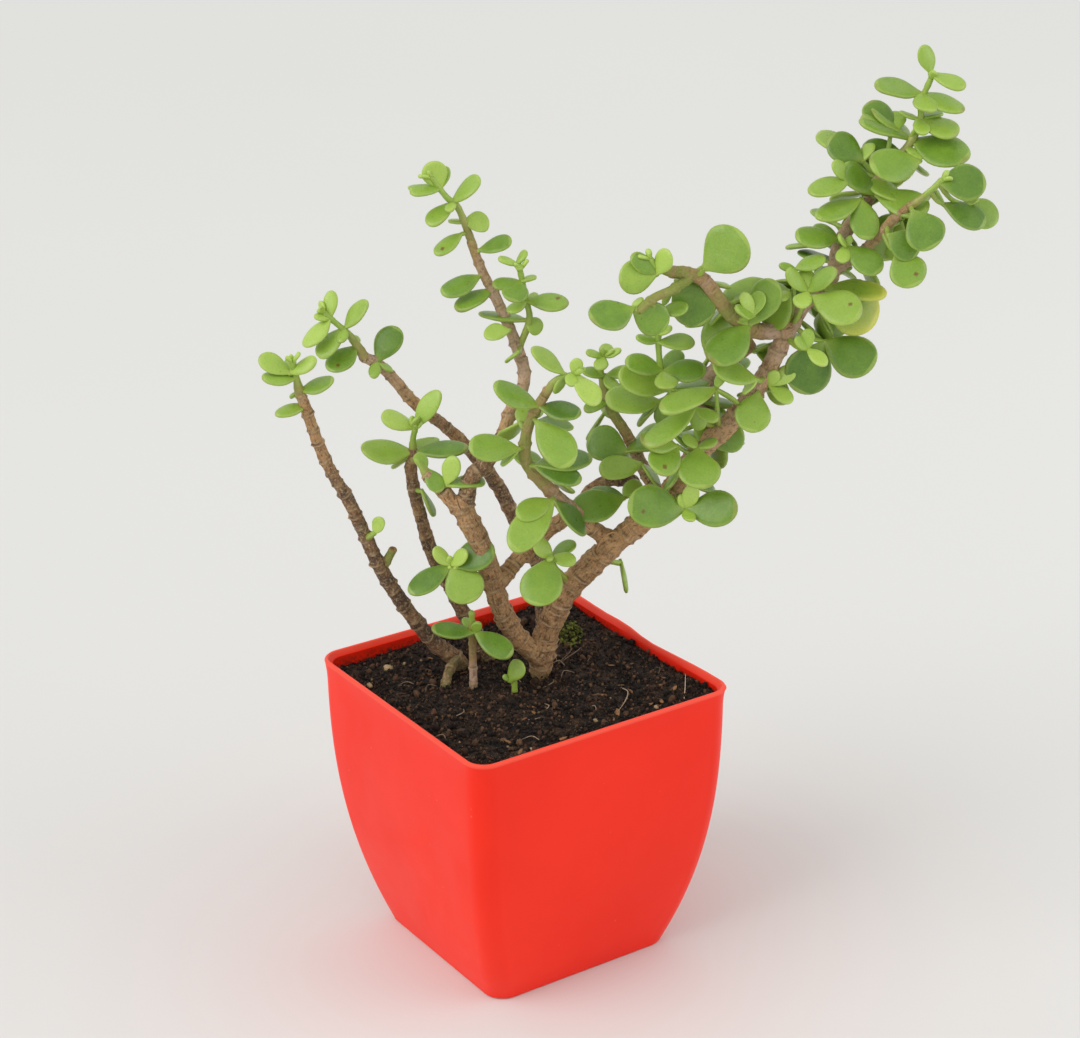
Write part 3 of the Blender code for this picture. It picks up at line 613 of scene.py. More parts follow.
def leaf_paint():
    paint = Paint("leaf_skin", Specular_IOR_Level=0.5, Subsurface_Weight=0.15,
                  Subsurface_Scale=0.0015)
    paint.shader.inputs["Subsurface Radius"].default_value = (0.7, 1.0, 0.2)
    tone = paint.value("tone")
    young = paint.value("young")
    along = paint.value("along")
    cloud = paint.noise(150.0, 4.0, 0.65)
    shade = paint.plus(paint.times(tone, 0.6), paint.times(cloud, 0.4))
    mature = paint.ramp(shade, (0.15, linear(80, 117, 32)), (0.45, linear(118, 154, 48)),
                        (0.85, linear(154, 184, 72)))
    fresh = paint.ramp(shade, (0.1, linear(144, 180, 60)), (0.8, linear(180, 207, 96)))
    paint.colour = paint.mix(young, mature, fresh)
    paint.lay(paint.times(paint.value("under"), 0.4), 150, 172, 80)
    base = paint.span(along, 0.0, 0.3, 0.5, 0.0)
    paint.lay(base, 172, 190, 84)
    dry = paint.ramp(cloud, (0.35, linear(128, 92, 58)), (0.65, linear(168, 142, 92)))
    paint.colour = paint.mix(paint.value("brown"), paint.colour, dry)
    rim = paint.times(paint.span(paint.value("edge"), 0.88, 1.0),
                      paint.span(paint.noise(90.0, 2.0), 0.5, 0.7, 0.0, 0.6))
    rim = paint.times(rim, paint.minus(1.0, young))
    # The edge is laid a lighter yellow-green: partly the leaf's own pale margin, partly a painted
    # highlight along it.
    paint.lay(paint.span(paint.value("edge"), 0.8, 1.0, 0.0, 0.45), 176, 196, 98)
    paint.lay(rim, 122, 104, 40)
    side = paint.plus(along, paint.times(paint.value("edge"), 0.35))
    yellow = paint.times(paint.value("yellow"), paint.span(side, 0.75, 1.25, 0.1, 0.9))
    paint.lay(yellow, 206, 204, 84)
    fine = paint.noise(1500.0, 3.0, 0.7)
    paint.lay(paint.span(fine, 0.52, 0.72, 0.0, 0.2), 66, 96, 24)
    paint.lay(paint.span(fine, 0.48, 0.3, 0.0, 0.12), 176, 198, 104)
    speck = paint.span(paint.cells(330.0), 0.09, 0.15, 1.0, 0.0)
    chance = paint.span(paint.noise(60.0, 2.0), 0.60, 0.68)
    speck = paint.times(paint.times(speck, chance), 0.6)
    paint.lay(speck, 112, 84, 38)
    spot = paint.plus(paint.value("spot"), paint.times(cloud, 0.2))
    paint.lay(paint.span(spot, 0.86, 0.98, 0.0, 0.8), 112, 66, 36)
    roughness = paint.span(paint.noise(500.0, 3.0), 0.3, 0.7, 0.26, 0.42)
    height = paint.plus(paint.noise(300.0, 4.0, 0.6), paint.times(fine, 0.3))
    return paint.finish(roughness, paint.bump(height, 0.4, 0.5))


def bark_paint():
    paint = Paint("bark", Specular_IOR_Level=0.3)
    age = paint.value("age")
    # Fissures run with the stem, so their noise is stretched along it.
    grain_place = paint.node("CombineXYZ", X=paint.value("turn_x"), Y=paint.value("turn_y"),
                             Z=paint.times(paint.value("run"), 0.28)).outputs[0]
    grain = paint.noise(1.5, 5.0, 0.7, 0.4, grain_place)
    cloud = paint.noise(170.0, 4.0, 0.7)
    shade = paint.plus(age, paint.times(paint.minus(cloud, 0.5), 0.5))
    paint.colour = paint.ramp(shade, (0.0, linear(136, 162, 62)), (0.18, linear(162, 166, 88)),
                              (0.34, linear(188, 152, 104)), (0.5, linear(216, 184, 160)),
                              (0.72, linear(212, 166, 114)), (0.84, linear(178, 136, 96)),
                              (0.98, linear(98, 78, 66)))
    wooded = paint.span(age, 0.2, 0.75, 0.12, 1.0)
    fine = paint.noise(1100.0, 4.0, 0.75)
    light = paint.times(paint.span(fine, 0.5, 0.64, 0.0, 0.75), wooded)
    paint.lay(light, 218, 194, 152)
    # Dark fissures along the grain, where the bump is low: partly the bark's own darker fissures, partly
    # painted shade in them.
    dark = paint.times(paint.span(grain, 0.47, 0.34, 0.0, 0.85), wooded)
    paint.lay(dark, 74, 50, 32)
    patch = paint.times(paint.span(paint.noise(330.0, 4.0, 0.75), 0.53, 0.64, 0.0, 0.7), wooded)
    paint.lay(patch, 112, 76, 46)
    paint.lay(paint.times(paint.value("ring"), 0.8), 214, 184, 142)
    # Painted shade: the dips beside the ring scars are laid dark brown.
    paint.lay(paint.times(paint.value("groove"), 0.85), 50, 33, 23)
    wood = paint.ramp(paint.noise(700.0, 3.0), (0.3, linear(150, 104, 62)), (0.7, linear(206, 166, 112)))
    paint.colour = paint.mix(paint.value("cut"), paint.colour, wood)
    green = paint.times(paint.value("moss"), paint.span(paint.noise(380.0, 4.0, 0.7), 0.35, 0.6))
    paint.lay(green, 108, 112, 62)
    height = paint.plus(paint.times(grain, 1.3), paint.times(fine, 0.5))
    height = paint.plus(height, paint.noise(520.0, 4.0, 0.7))
    roughness = paint.span(fine, 0.3, 0.7, 0.6, 0.85)
    return paint.finish(roughness, paint.bump(height, 0.9, 1.1))


def soil_paint():
    paint = Paint("soil_grain", Specular_IOR_Level=0.35)
    tone = paint.value("tone")
    grain = paint.noise(2200.0, 4.0, 0.8)
    cloud = paint.noise(140.0, 3.0)
    shade = paint.plus(paint.times(grain, 0.65), paint.times(cloud, 0.35))
    paint.colour = paint.ramp(shade, (0.4, linear(10, 6, 5)), (0.5, linear(44, 29, 20)),
                              (0.6, linear(104, 76, 55)))
    paint.lay(paint.span(tone, 0.6, 1.0, 0.0, 0.95), 146, 108, 78)
    paint.lay(paint.span(tone, 0.5, 0.0, 0.0, 0.85), 14, 9, 7)
    dots = paint.span(paint.cells(1300.0), 0.16, 0.26, 1.0, 0.0)
    dots = paint.times(dots, paint.span(paint.noise(1000.0, 1.0), 0.55, 0.6))
    paint.lay(paint.times(dots, 0.85), 168, 140, 108)
    height = paint.plus(grain, paint.times(paint.noise(600.0, 4.0, 0.7), 1.2))
    return paint.finish(0.8, paint.bump(height, 1.0, 1.6))


def scrap_paint(name, dark, light, roughness=0.8):
    """Chips, fibres and stones: two tones with a fine grain."""
    paint = Paint(name, Specular_IOR_Level=0.3, Roughness=roughness)
    tone = paint.value("tone")
    grain = paint.plus(paint.times(paint.noise(1400.0, 3.0, 0.7), 0.5),
                       paint.times(tone, 0.5))
    paint.colour = paint.ramp(grain, (0.25, linear(*dark)), (0.75, linear(*light)))
    return paint.finish(None, paint.bump(paint.noise(900.0, 3.0), 0.4, 0.4))


def pot_paint():
    paint = Paint("pot_plastic", Specular_IOR_Level=0.26)
    cloud = paint.noise(14.0, 3.0, 0.55)
    inside = paint.value("inside")
    paint.colour = paint.mix(paint.span(cloud, 0.35, 0.65), linear(242, 38, 12), linear(250, 44, 16))
    # Painted shade: the inner wall, and by a share the inner side of the rim, is laid a darker red.
    paint.lay(paint.times(inside, 0.12), 196, 26, 18)
    # Painted highlight: the top of the rim is laid a lighter pink.
    paint.lay(paint.times(paint.value("rim"), 0.4), 255, 112, 88)
    chance = paint.span(paint.noise(45.0, 2.0), 0.54, 0.6)
    dust = paint.span(paint.cells(170.0), 0.05, 0.09, 1.0, 0.0)
    dust = paint.times(paint.times(dust, chance), 0.4)
    paint.lay(dust, 250, 120, 96)
    dirt = paint.times(paint.value("dirt"), paint.span(paint.noise(600.0, 4.0, 0.7), 0.42, 0.6))
    paint.lay(dirt, 72, 40, 28)
    smear = paint.noise(30.0, 4.0, 0.6, 1.0)
    roughness = paint.span(smear, 0.3, 0.7, 0.36, 0.46)
    height = paint.plus(paint.noise(26.0, 2.0, 0.5),
                        paint.times(paint.noise(1100.0, 3.0, 0.6), 0.06))
    return paint.finish(roughness, paint.bump(height, 0.22, 1.6))


def floor_paint():
    paint = Paint("studio_floor", Roughness=0.9, Specular_IOR_Level=0.0)
    cloud = paint.noise(2.0, 2.0)
    paint.colour = paint.mix(cloud, linear(220, 220, 218), linear(223, 223, 221))
    return paint.finish()


# Pot and soil

FOOT_RADIUS = 1.2
RIM_RADIUS = 0.85
RIM_START = 1.6
RUN_OUT = 5.0
SOIL_GRID = 96
BACK_HEAP = 3.4
LEFT_HEAP = 1.8
CRUMB_COUNT = 6800
CLOD_EVERY = 45
STONE_COUNT = 12
CHIP_COUNT = 46
FIBRE_COUNT = 26
MOSS_COUNT = 230
MOSS_PLACE = (18, 41)
MOSS_REACH = (4.5, 10)
MOSS_RISE = 5.0
CURL_RADIUS = 0.24
THREAD_SIDES = 6
THREAD_STEP = 0.9
# Rounded; the seeded draws are made with this value.
FULL_TURN = 6.28


def square_ring(half_width, radius, steps):
    """Corner arcs and the straight runs between them, as x and y."""
    centre = half_width - radius
    ring = []
    for quarter in range(4):
        turn = quarter * math.pi / 2
        c, s = math.cos(turn), math.sin(turn)
        corner = [(centre + radius * math.cos(a), centre + radius * math.sin(a))
                  for a in (step * math.pi / 2 / steps for step in range(steps + 1))]
        runs = [(centre * (1 - 2 * k / 12), half_width) for k in range(1, 12)]
        ring += [(c * x - s * y, s * x + c * y) for x, y in corner + runs]
    return np.array(ring)


def pot_half_width(height):
    share = 1 - height / POT_HEIGHT
    return RIM_WIDTH / 2 - LIP_STEP - BASE_TAPER * share ** TAPER_POWER


def pot_rows():
    """Half width, height, corner radius and inner share of each ring, from the foot outside,
    over the rim, to the floor inside."""
    lip = POT_HEIGHT - LIP_HEIGHT
    rows = []
    for k in range(5):
        a = k / 4 * math.pi / 2
        width = pot_half_width(FOOT_RADIUS) - FOOT_RADIUS * (1 - math.sin(a))
        rows.append((width, FOOT_RADIUS * (1 - math.cos(a)), CORNER_RADIUS, 0))
    rows += [(pot_half_width(z), z, CORNER_RADIUS, 0) for z in np.linspace(4, lip - RUN_OUT, 32)]
    half = RIM_WIDTH / 2
    for z in np.linspace(lip - 3.5, POT_HEIGHT - RIM_START, 6):
        # The wall runs out into the rim without a step.
        share = (z - lip + RUN_OUT) / (LIP_HEIGHT + RUN_OUT - RIM_START)
        rows.append((pot_half_width(z) + LIP_STEP * share * share * 0.75, z, CORNER_RADIUS, 0))
    rows.append((half - 0.06, POT_HEIGHT - 1.15, CORNER_RADIUS, 0))
    for k in range(7):
        a = k / 6 * math.pi
        out = RIM_RADIUS * math.cos(a)
        rows.append((half - RIM_RADIUS + out, POT_HEIGHT - RIM_RADIUS + RIM_RADIUS * math.sin(a),
                     CORNER_RADIUS - RIM_RADIUS + out, 0.3 * k / 6))
    inner_radius = CORNER_RADIUS - WALL
    rows += [(pot_half_width(z) - WALL, z, inner_radius, 1.0)
             for z in np.linspace(POT_HEIGHT - 2.0, FLOOR + 1.5, 28)]
    rows.append((pot_half_width(FLOOR) - WALL - 1.2, FLOOR, inner_radius, 1.0))
    return rows


def make_pot():
    rings, inside, dirt, rim = [], [], [], []
    for width, z, radius, inner in pot_rows():
        ring = square_ring(width, max(radius, 1.5), 10)
        points = np.column_stack([ring, np.full(len(ring), z)])
        rings.append(points)
        # The inner share also sets how much painted shade the pot's inside gets.
        inside.append(np.full(len(ring), inner))
        # The top of the rim is marked for its painted highlight.
        rim.append(np.full(len(ring), float(z > POT_HEIGHT - 1.2)))
        low = np.clip((SOIL_LEVEL + 5.0 - z) / 3.0, 0, 0.8) if inner == 1.0 else 0.0
        dirt.append(np.full(len(ring), low))
    points = warp_rim(np.concatenate(rings))
    shape = Shape()
    shape.add(points, ring_faces(len(rings), len(rings[0])), inside=np.concatenate(inside),
              dirt=np.concatenate(dirt), rim=np.concatenate(rim))
    pot = shape.build("pot_shell", pot_paint(), "pot", "pot", 40)
    for x in (-DRAIN_OFFSET, DRAIN_OFFSET):
        for y in (-DRAIN_OFFSET, DRAIN_OFFSET):
            cut_hole(pot, x, y)


def warp_rim(points):
    """The rim is a thin moulding: its back right run waves a little, and one corner has flash."""
    x, y, z = points.T
    high = np.clip((z - 70) / 38, 0, 1) ** 2
    back = np.clip((y - 50) / 4, 0, 1) * high
    wave = 0.8 * np.sin(x / 9.0) + 0.25 * np.sin(x / 4.6 + 1)
    fade = 0.5 + 0.5 * np.cos(np.clip(x / 48, -1, 1) * math.pi)
    points[:, 1] -= back * fade * (1.1 + 0.7 * wave)
    points[:, 2] -= back * fade * (0.35 + 0.35 * wave)
    left = np.clip((-50 - x) / 4, 0, 1) * high
    points[:, 0] += left * np.clip(1 - np.abs(y) / 46, 0, 1) * 0.6
    flash = np.clip(1 - np.hypot(x - 54, y - 54) / 3.5, 0, 1) * np.clip((z - POT_HEIGHT + 2) / 2, 0, 1)
    points[:, 0] += 0.9 * flash
    points[:, 1] += 0.9 * flash
    return points


def cut_hole(pot, x, y):
    """Cut one drain hole through the floor."""
    sides = 40
    turn = np.arange(sides) * math.tau / sides
    rings = [np.column_stack([x + DRAIN_RADIUS * np.cos(turn), y + DRAIN_RADIUS * np.sin(turn),
                              np.full(sides, z)]) for z in (-2.0, FLOOR + 2.0)]
    mesh = bpy.data.meshes.new("hole")
    mesh.from_pydata((np.concatenate(rings) * MM).tolist(), [], ring_faces(2, sides))
    cutter = bpy.data.objects.new("hole", mesh)
    bpy.context.scene.collection.objects.link(cutter)
    modifier = pot.modifiers.new("hole", "BOOLEAN")
    modifier.operation = "DIFFERENCE"
    modifier.solver = "EXACT"
    modifier.object = cutter
    with bpy.context.temp_override(object=pot, active_object=pot):
        bpy.ops.object.modifier_apply(modifier="hole")
    bpy.data.objects.remove(cutter)


def soil_height(x, y):
    """The height of the soil: crowned, lumpy, and heaped against the two back walls."""
    half = pot_half_width(SOIL_LEVEL) - WALL
    edge = max(abs(x), abs(y)) / half
    height = SOIL_LEVEL + SOIL_CROWN * (1 - edge * edge)
    height += 1.1 * rough((x, y, 0), 0.045, 3.0) + 0.8 * rough((x, y, 0), 0.13, 9.0)
    height += 0.7 * rough((x, y, 0), 0.42, 5.0) + 0.4 * rough((x, y, 0), 1.1, 7.0)
    height += BACK_HEAP * max(0.0, min(1.0, (y - 28) / 20))
    return height + LEFT_HEAP * max(0.0, min(1.0, (-28 - x) / 20))


def make_soil():
    """The soil as one closed body: a lumpy top, sides that follow the wall, and crumbs on it."""
    half = pot_half_width(SOIL_LEVEL) - WALL + 0.1
    count = SOIL_GRID
    grid = np.linspace(-half, half, count)
    points = []
    for y in grid:
        for x in grid:
            # Pull the square's corners in to the pot's round ones.
            over = max(0.0, abs(x) + abs(y) - (2 * half - 3.4)) / 2
            px, py = x - math.copysign(over, x), y - math.copysign(over, y)
            points.append((px, py, soil_height(px, py)))
    faces = [[r * count + c, r * count + c + 1, (r + 1) * count + c + 1, (r + 1) * count + c]
             for r in range(count - 1) for c in range(count - 1)]
    rim = ([c for c in range(count)] + [r * count + count - 1 for r in range(1, count)]
           + [(count - 1) * count + c for c in range(count - 2, -1, -1)]
           + [r * count for r in range(count - 2, 0, -1)])
    start = len(points)
    lower = []
    for z, width in ((92.0, pot_half_width(92.0) - WALL - 0.4), (50.0, pot_half_width(50.0) - WALL - 0.4),
                     (FLOOR + 0.4, pot_half_width(FLOOR) - WALL - 1.5)):
        share = width / half
        lower += [(points[i][0] * share, points[i][1] * share, z) for i in rim]
    size = len(rim)
    loops = [rim] + [[start + k * size + i for i in range(size)] for k in range(3)]
    for upper, under in zip(loops, loops[1:]):
        for i in range(size):
            j = (i + 1) % size
            faces.append([upper[j], upper[i], under[i], under[j]])
    faces.append(loops[-1][::-1])
    shape = Shape()
    points = points + lower
    tone = [0.5 + 0.28 * rough(p, 0.35, 21.0) for p in points]
    shape.add(points, faces, tone=np.array(tone))
    scatter_crumbs(shape, half)
    shape.build("soil_bed", soil_paint(), "soil", "soil")


def ball(subdivisions):
    """The points and faces of an icosphere of radius 1."""
    bm = bmesh.new()
    bmesh.ops.create_icosphere(bm, subdivisions=subdivisions, radius=1.0)
    parts = ([tuple(v.co) for v in bm.verts], [[v.index for v in f.verts] for f in bm.faces])
    bm.free()
    return parts


PLAIN_BALL = ball(1)
FINE_BALL = ball(2)
FINE_SIZE = 1.4


def lump(size, stretch, seed):
    """A small uneven stone or crumb about the origin."""
    verts, faces = FINE_BALL if size > FINE_SIZE else PLAIN_BALL
    verts = np.array(verts)
    uneven = np.array([1 + 0.45 * noise.noise(Vector(v) * 1.4 + Vector((seed, 0, 0))) for v in verts])
    return verts * uneven[:, None] * size * np.array(stretch), faces


def spun(points, angles):
    """Points turned by three angles about X, Y and Z."""
    matrix = np.array(Matrix.Rotation(angles[0], 3, "X") @ Matrix.Rotation(angles[1], 3, "Y")
                      @ Matrix.Rotation(angles[2], 3, "Z"))
    return points @ matrix.T


def scatter_crumbs(shape, half):
    """Crumbs from dust to small clods, denser than the eye can count."""
    for i in range(CRUMB_COUNT):
        x, y = random.uniform(-half + 0.8, half - 0.8, 2)
        if abs(x) + abs(y) > 2 * half - 5.5:
            continue
        size = 0.3 + 0.6 * random.random() ** 1.6
        if i % CLOD_EVERY == 0:
            size = random.uniform(1.1, 1.7)
        stretch = (1.0, random.uniform(0.6, 1.0), random.uniform(0.5, 0.9))
        points, faces = lump(size, stretch, i * 0.37)
        points = spun(points, random.uniform(0, FULL_TURN, 3))
        points = points + np.array((x, y, soil_height(x, y) + size * random.uniform(0.2, 0.9)))
        shape.add(points, faces, tone=random.beta(0.75, 1.0))


def chip(size, seed):
    """A flat splinter of bark or wood."""
    full = 1.5
    points, faces = lump(full, (1.0, 0.42, 0.16), seed)
    return points / full * size, faces


def on_soil(right, away):
    """Where a place given right and away is on the pot's own axes."""
    x, y, _ = turned([(right, away, 0)])[0]
    return x, y


def make_stones():
    stones = Shape()
    for i in range(STONE_COUNT):
        x, y = random.uniform(-46, 46, 2)
        size = random.uniform(0.4, 0.8)
        points, faces = lump(size, (1, 0.8, 0.7), 50 + i)
        points = spun(points, random.uniform(0, FULL_TURN, 3))
        points = points + np.array((x, y, soil_height(x, y) + size * 0.4))
        stones.add(points, faces, tone=random.uniform(0.2, 1.0))
    for right, away, size, tone in STONES:
        x, y = on_soil(right, away)
        points, faces = lump(size, (1.25, 0.9, 0.7), right)
        points = points + np.array((x, y, soil_height(x, y) + size * 0.35))
        stones.add(points, faces, tone=tone)
    return stones


def make_chips():
    chips = Shape()
    for i in range(CHIP_COUNT):
        x, y = random.uniform(-47, 47, 2)
        points, faces = chip(random.uniform(0.7, 1.9), 80 + i)
        spin = (random.uniform(-0.35, 0.35), random.uniform(-0.35, 0.35), random.uniform(0, FULL_TURN))
        points = spun(points, spin) + np.array((x, y, soil_height(x, y) + 0.35))
        chips.add(points, faces, tone=random.random())
    for right, away, size, tone in CHIPS:
        x, y = on_soil(right, away)
        points, faces = chip(size, away)
        points = spun(points, (0.15, 0.1, right)) + np.array((x, y, soil_height(x, y) + 0.6))
        chips.add(points, faces, tone=tone)
    return chips


def make_fibres():
    fibres = Shape()
    for route, radius, tone in THREADS:
        thread(fibres, turned(route), radius, tone)
    for _ in range(FIBRE_COUNT):
        x, y = random.uniform(-45, 45, 2)
        swing = random.uniform(0, FULL_TURN)
        z = soil_height(x, y) + 0.5
        step = random.uniform(1.5, 4.0)
        middle = (x + step * math.cos(swing), y + step * math.sin(swing), z + random.uniform(0.2, 1.5))
        far = (x + 2 * step * math.cos(swing + 0.6), y + 2 * step * math.sin(swing + 0.6), z)
        thread(fibres, [(x, y, z), middle, far], random.uniform(0.1, 0.16), random.random() * 0.6)
    return fibres


def make_curls():
    curls = Shape()
    for route in CURLS:
        thread(curls, turned(route), CURL_RADIUS, 0.7)
    return curls


def make_moss():
    moss = Shape()
    for i in range(MOSS_COUNT):
        swing, reach = random.uniform(0, FULL_TURN), random.random() ** 0.6
        x, y = on_soil(MOSS_PLACE[0] + MOSS_REACH[0] * reach * math.cos(swing),
                       MOSS_PLACE[1] + MOSS_REACH[1] * reach * math.sin(swing))
        size = random.uniform(0.3, 0.85)
        points, faces = lump(size, (1, 0.7, 0.9), i * 1.3)
        rise = MOSS_RISE * (1 - reach) * random.random()
        points = points + np.array((x, y, soil_height(x, y) + 0.5 + rise))
        moss.add(points, faces, tone=random.random())
    return moss


def make_scraps():
    """Stones, wood chips, fibres and moss on the soil, and loose bark on the trunk."""
    stones, chips, fibres, curls, moss = (
        make_stones(), make_chips(), make_fibres(), make_curls(), make_moss())
    for shape, name, paint, slot in (
            (fibres, "soil_fibres", scrap_paint("fibre", (92, 60, 38), (226, 206, 176)), "soil"),
            (curls, "bark_fibres", scrap_paint("bark_fibre", (120, 84, 52), (206, 160, 108)), "bark"),
            (moss, "moss_clump", scrap_paint("moss", (40, 42, 16), (112, 118, 48), 0.95), "soil"),
            (stones, "soil_stones", scrap_paint("stone", (98, 78, 56), (176, 150, 112)), "soil"),
            (chips, "soil_chips", scrap_paint("wood_chip", (64, 36, 26), (150, 108, 70)), "soil")):
        shape.build(name, paint, None, slot)


def circle(point, axes, radius, sides):
    """A ring of points about a point, in the plane of its two axes."""
    turn = np.arange(sides) * math.tau / sides
    side, across = axes
    return np.array(point) + radius * (np.outer(np.cos(turn), side) + np.outer(np.sin(turn), across))


def thread(shape, points, radius, tone):
    """A hair, fibre or root along a route, which thins to its end."""
    line = smooth_points(points, THREAD_STEP)
    rings = []
    for k, (point, axes) in enumerate(zip(line, frames_along(line))):
        share = k / (len(line) - 1)
        rings.append(circle(point, axes, radius * (1 - 0.6 * share ** 3), THREAD_SIDES))
    shape.add(np.concatenate(rings), ring_faces(len(rings), THREAD_SIDES), tone=tone)


# Stems

STEM_SIDES = 24
STEM_STEP = 0.65
TWIG_SIDES = 14
TWIG_STEP = 0.8
FREE_SPRIG_RADIUS = 1.2
FLARE_HEIGHT = 16.0
SCAR_REACH = 5
# Rings past the end of a stem: share of its width, and rise in mm or as a share of its radius.
BLUNT_END = ((0.97, 0.15), (0.86, 0.42), (0.8, 0.3), (0.42, 0.12), (0.1, 0.2))
ROUND_END = ((0.86, 0.35), (0.55, 0.7), (0.2, 0.9))
CUT_SHARE = 0.85


def gauss(x, width):
    return math.exp(-(x / width) ** 2)


def leaf_scars(total, start, dice):
    """Where the leaf scars ring a stem, how much each swells and how far it tilts."""
    places = [dice.uniform(2, 5)]
    while places[-1] < total:
        places.append(places[-1] + dice.uniform(3.0, 7.4) * (0.8 + 0.08 * start))
    swells = [dice.uniform(0.02, 0.11) for _ in places]
    tilts = [dice.uniform(-0.35, 0.35) for _ in places]
    return list(enumerate(zip(places, swells, tilts)))


def bark_relief(spot, angle, run, radius, woody, scars, phase, seed):
    """The bark's height above the stem's middle, how strong its ring is, and how much painted shade its
    groove gets.
    """
    lumps = 0.15 * rough(spot, 0.13, seed) + 0.11 * rough(spot, 0.42, seed + 5)
    lumps += 0.05 * rough(spot, 1.2, seed + 8) + 0.03 * rough(spot, 2.6, seed + 2)
    broken = max(0.3, min(1.0, 0.45 + 2.0 * rough(spot, 0.4, seed + 30)))
    ridge = scar = dip = knob = 0.0
    for k, (place, swell, tilt) in scars:
        off = run - place - tilt * radius * math.cos(angle - phase * k)
        ridge += swell * gauss(off, 1.0) * radius + 0.16 * gauss(off, 0.35) * broken
        scar = max(scar, gauss(off, 0.38))
        dip = max(dip, gauss(off - 0.75, 0.3), 0.5 * gauss(off + 0.7, 0.25))
        # A pair of leaves sat at each scar, a quarter turn on from the pair before.
        for opposite in (0, math.pi):
            gap = (angle - phase - k * math.pi / 2 - opposite + math.pi) % math.tau - math.pi
            knob += gauss(off - 0.3, 0.85) * gauss(gap * radius, 0.8 + 0.12 * radius)
    size = radius * (1 + lumps * woody) + (ridge - 0.3 * dip * broken) * woody
    size += 0.5 * knob * min(1.0, radius / 2.2)
    return size, min(1.0, scar * broken + 0.6 * knob) * woody, min(1.0, dip * broken) * woody


def close_stem(rings, values, tangent, end, pruned):
    """Close a stem with a flat cut that shows its wood, or with a round end."""
    last = rings[-1]
    middle = last.mean(axis=0)
    for share, rise in BLUNT_END if pruned else [(s, r * end) for s, r in ROUND_END]:
        rings.append(middle + (last - middle) * share + tangent * rise)
        for key in values:
            tail = values[key][-STEM_SIDES:]
            values[key] += [0.0] * STEM_SIDES if key in ("ring", "groove") else tail
        if pruned and share < CUT_SHARE:
            values["cut"][-STEM_SIDES:] = [1.0] * STEM_SIDES


def add_stem(shape, name, start, end, points, ages, pruned, flare):
    """Bark with ring scars, paired leaf scars, bulges and, where it was pruned, a cut end."""
    seed = sum(ord(letter) for letter in name) % 97
    dice = np.random.default_rng(seed)
    line = stem_line(points, STEM_STEP)
    runs = [0.0]
    for a, b in zip(line, line[1:]):
        runs.append(runs[-1] + (b - a).length)
    total = runs[-1]
    scars = leaf_scars(total, start, dice)
    phase = dice.uniform(0, 3)
    moss, moss_height = (1.0, 18.0) if name == "root_arm" else (0.6, 6.0)
    rings = []
    values = {key: [] for key in ("age", "ring", "groove", "moss", "turn_x", "turn_y", "run", "cut")}
    angles = np.arange(STEM_SIDES) * math.tau / STEM_SIDES
    for point, (side, across), run in zip(line, frames_along(line), runs):
        share = run / total
        radius = start + (end - start) * share
        height = point.z - SOIL_LEVEL
        if flare:
            radius *= 1 + flare * math.exp(-max(height, 0) / FLARE_HEIGHT)
        near = [scar for scar in scars if abs(scar[1][0] - run) < SCAR_REACH]
        age = float(np.interp(share, np.linspace(0, 1, len(ages)), ages))
        woody = min(1.0, max(0.25, age * 1.6))
        ring = []
        for angle in angles:
            direction = math.cos(angle) * side + math.sin(angle) * across
            spot = point + radius * direction
            size, mark, groove = bark_relief(spot, angle, run, radius, woody, near, phase, seed)
            ring.append(np.array(point + size * direction))
            here = {"age": age, "ring": mark, "groove": groove, "cut": 0.0, "run": run,
                    "moss": moss * max(0.0, 1 - height / moss_height),
                    "turn_x": math.cos(angle) * radius, "turn_y": math.sin(angle) * radius}
            for key, value in here.items():
                values[key].append(value)
        rings.append(np.array(ring))
    close_stem(rings, values, np.array(tangents(line)[-1]), end, pruned)
    shape.add(np.concatenate(rings), ring_faces(len(rings), STEM_SIDES), **values)
    return line


# Leaves

LEAF_PLACES = np.sin(np.linspace(0.0, 1.0, 15)[:-1] * math.pi / 2) ** 1.15
LEAF_SIDES = 14
WIDEST = 0.60


def outline(x):
    """Half width of a leaf against its length: a wedge that opens into a round blade."""
    wedge = np.sin(np.clip(x / WIDEST, 0, 1) * math.pi / 2) ** 1.05
    blade = np.sqrt(np.clip(1 - ((x - WIDEST) / (1 - WIDEST)) ** 2, 0, 1))
    return np.where(x < WIDEST, wedge, blade)


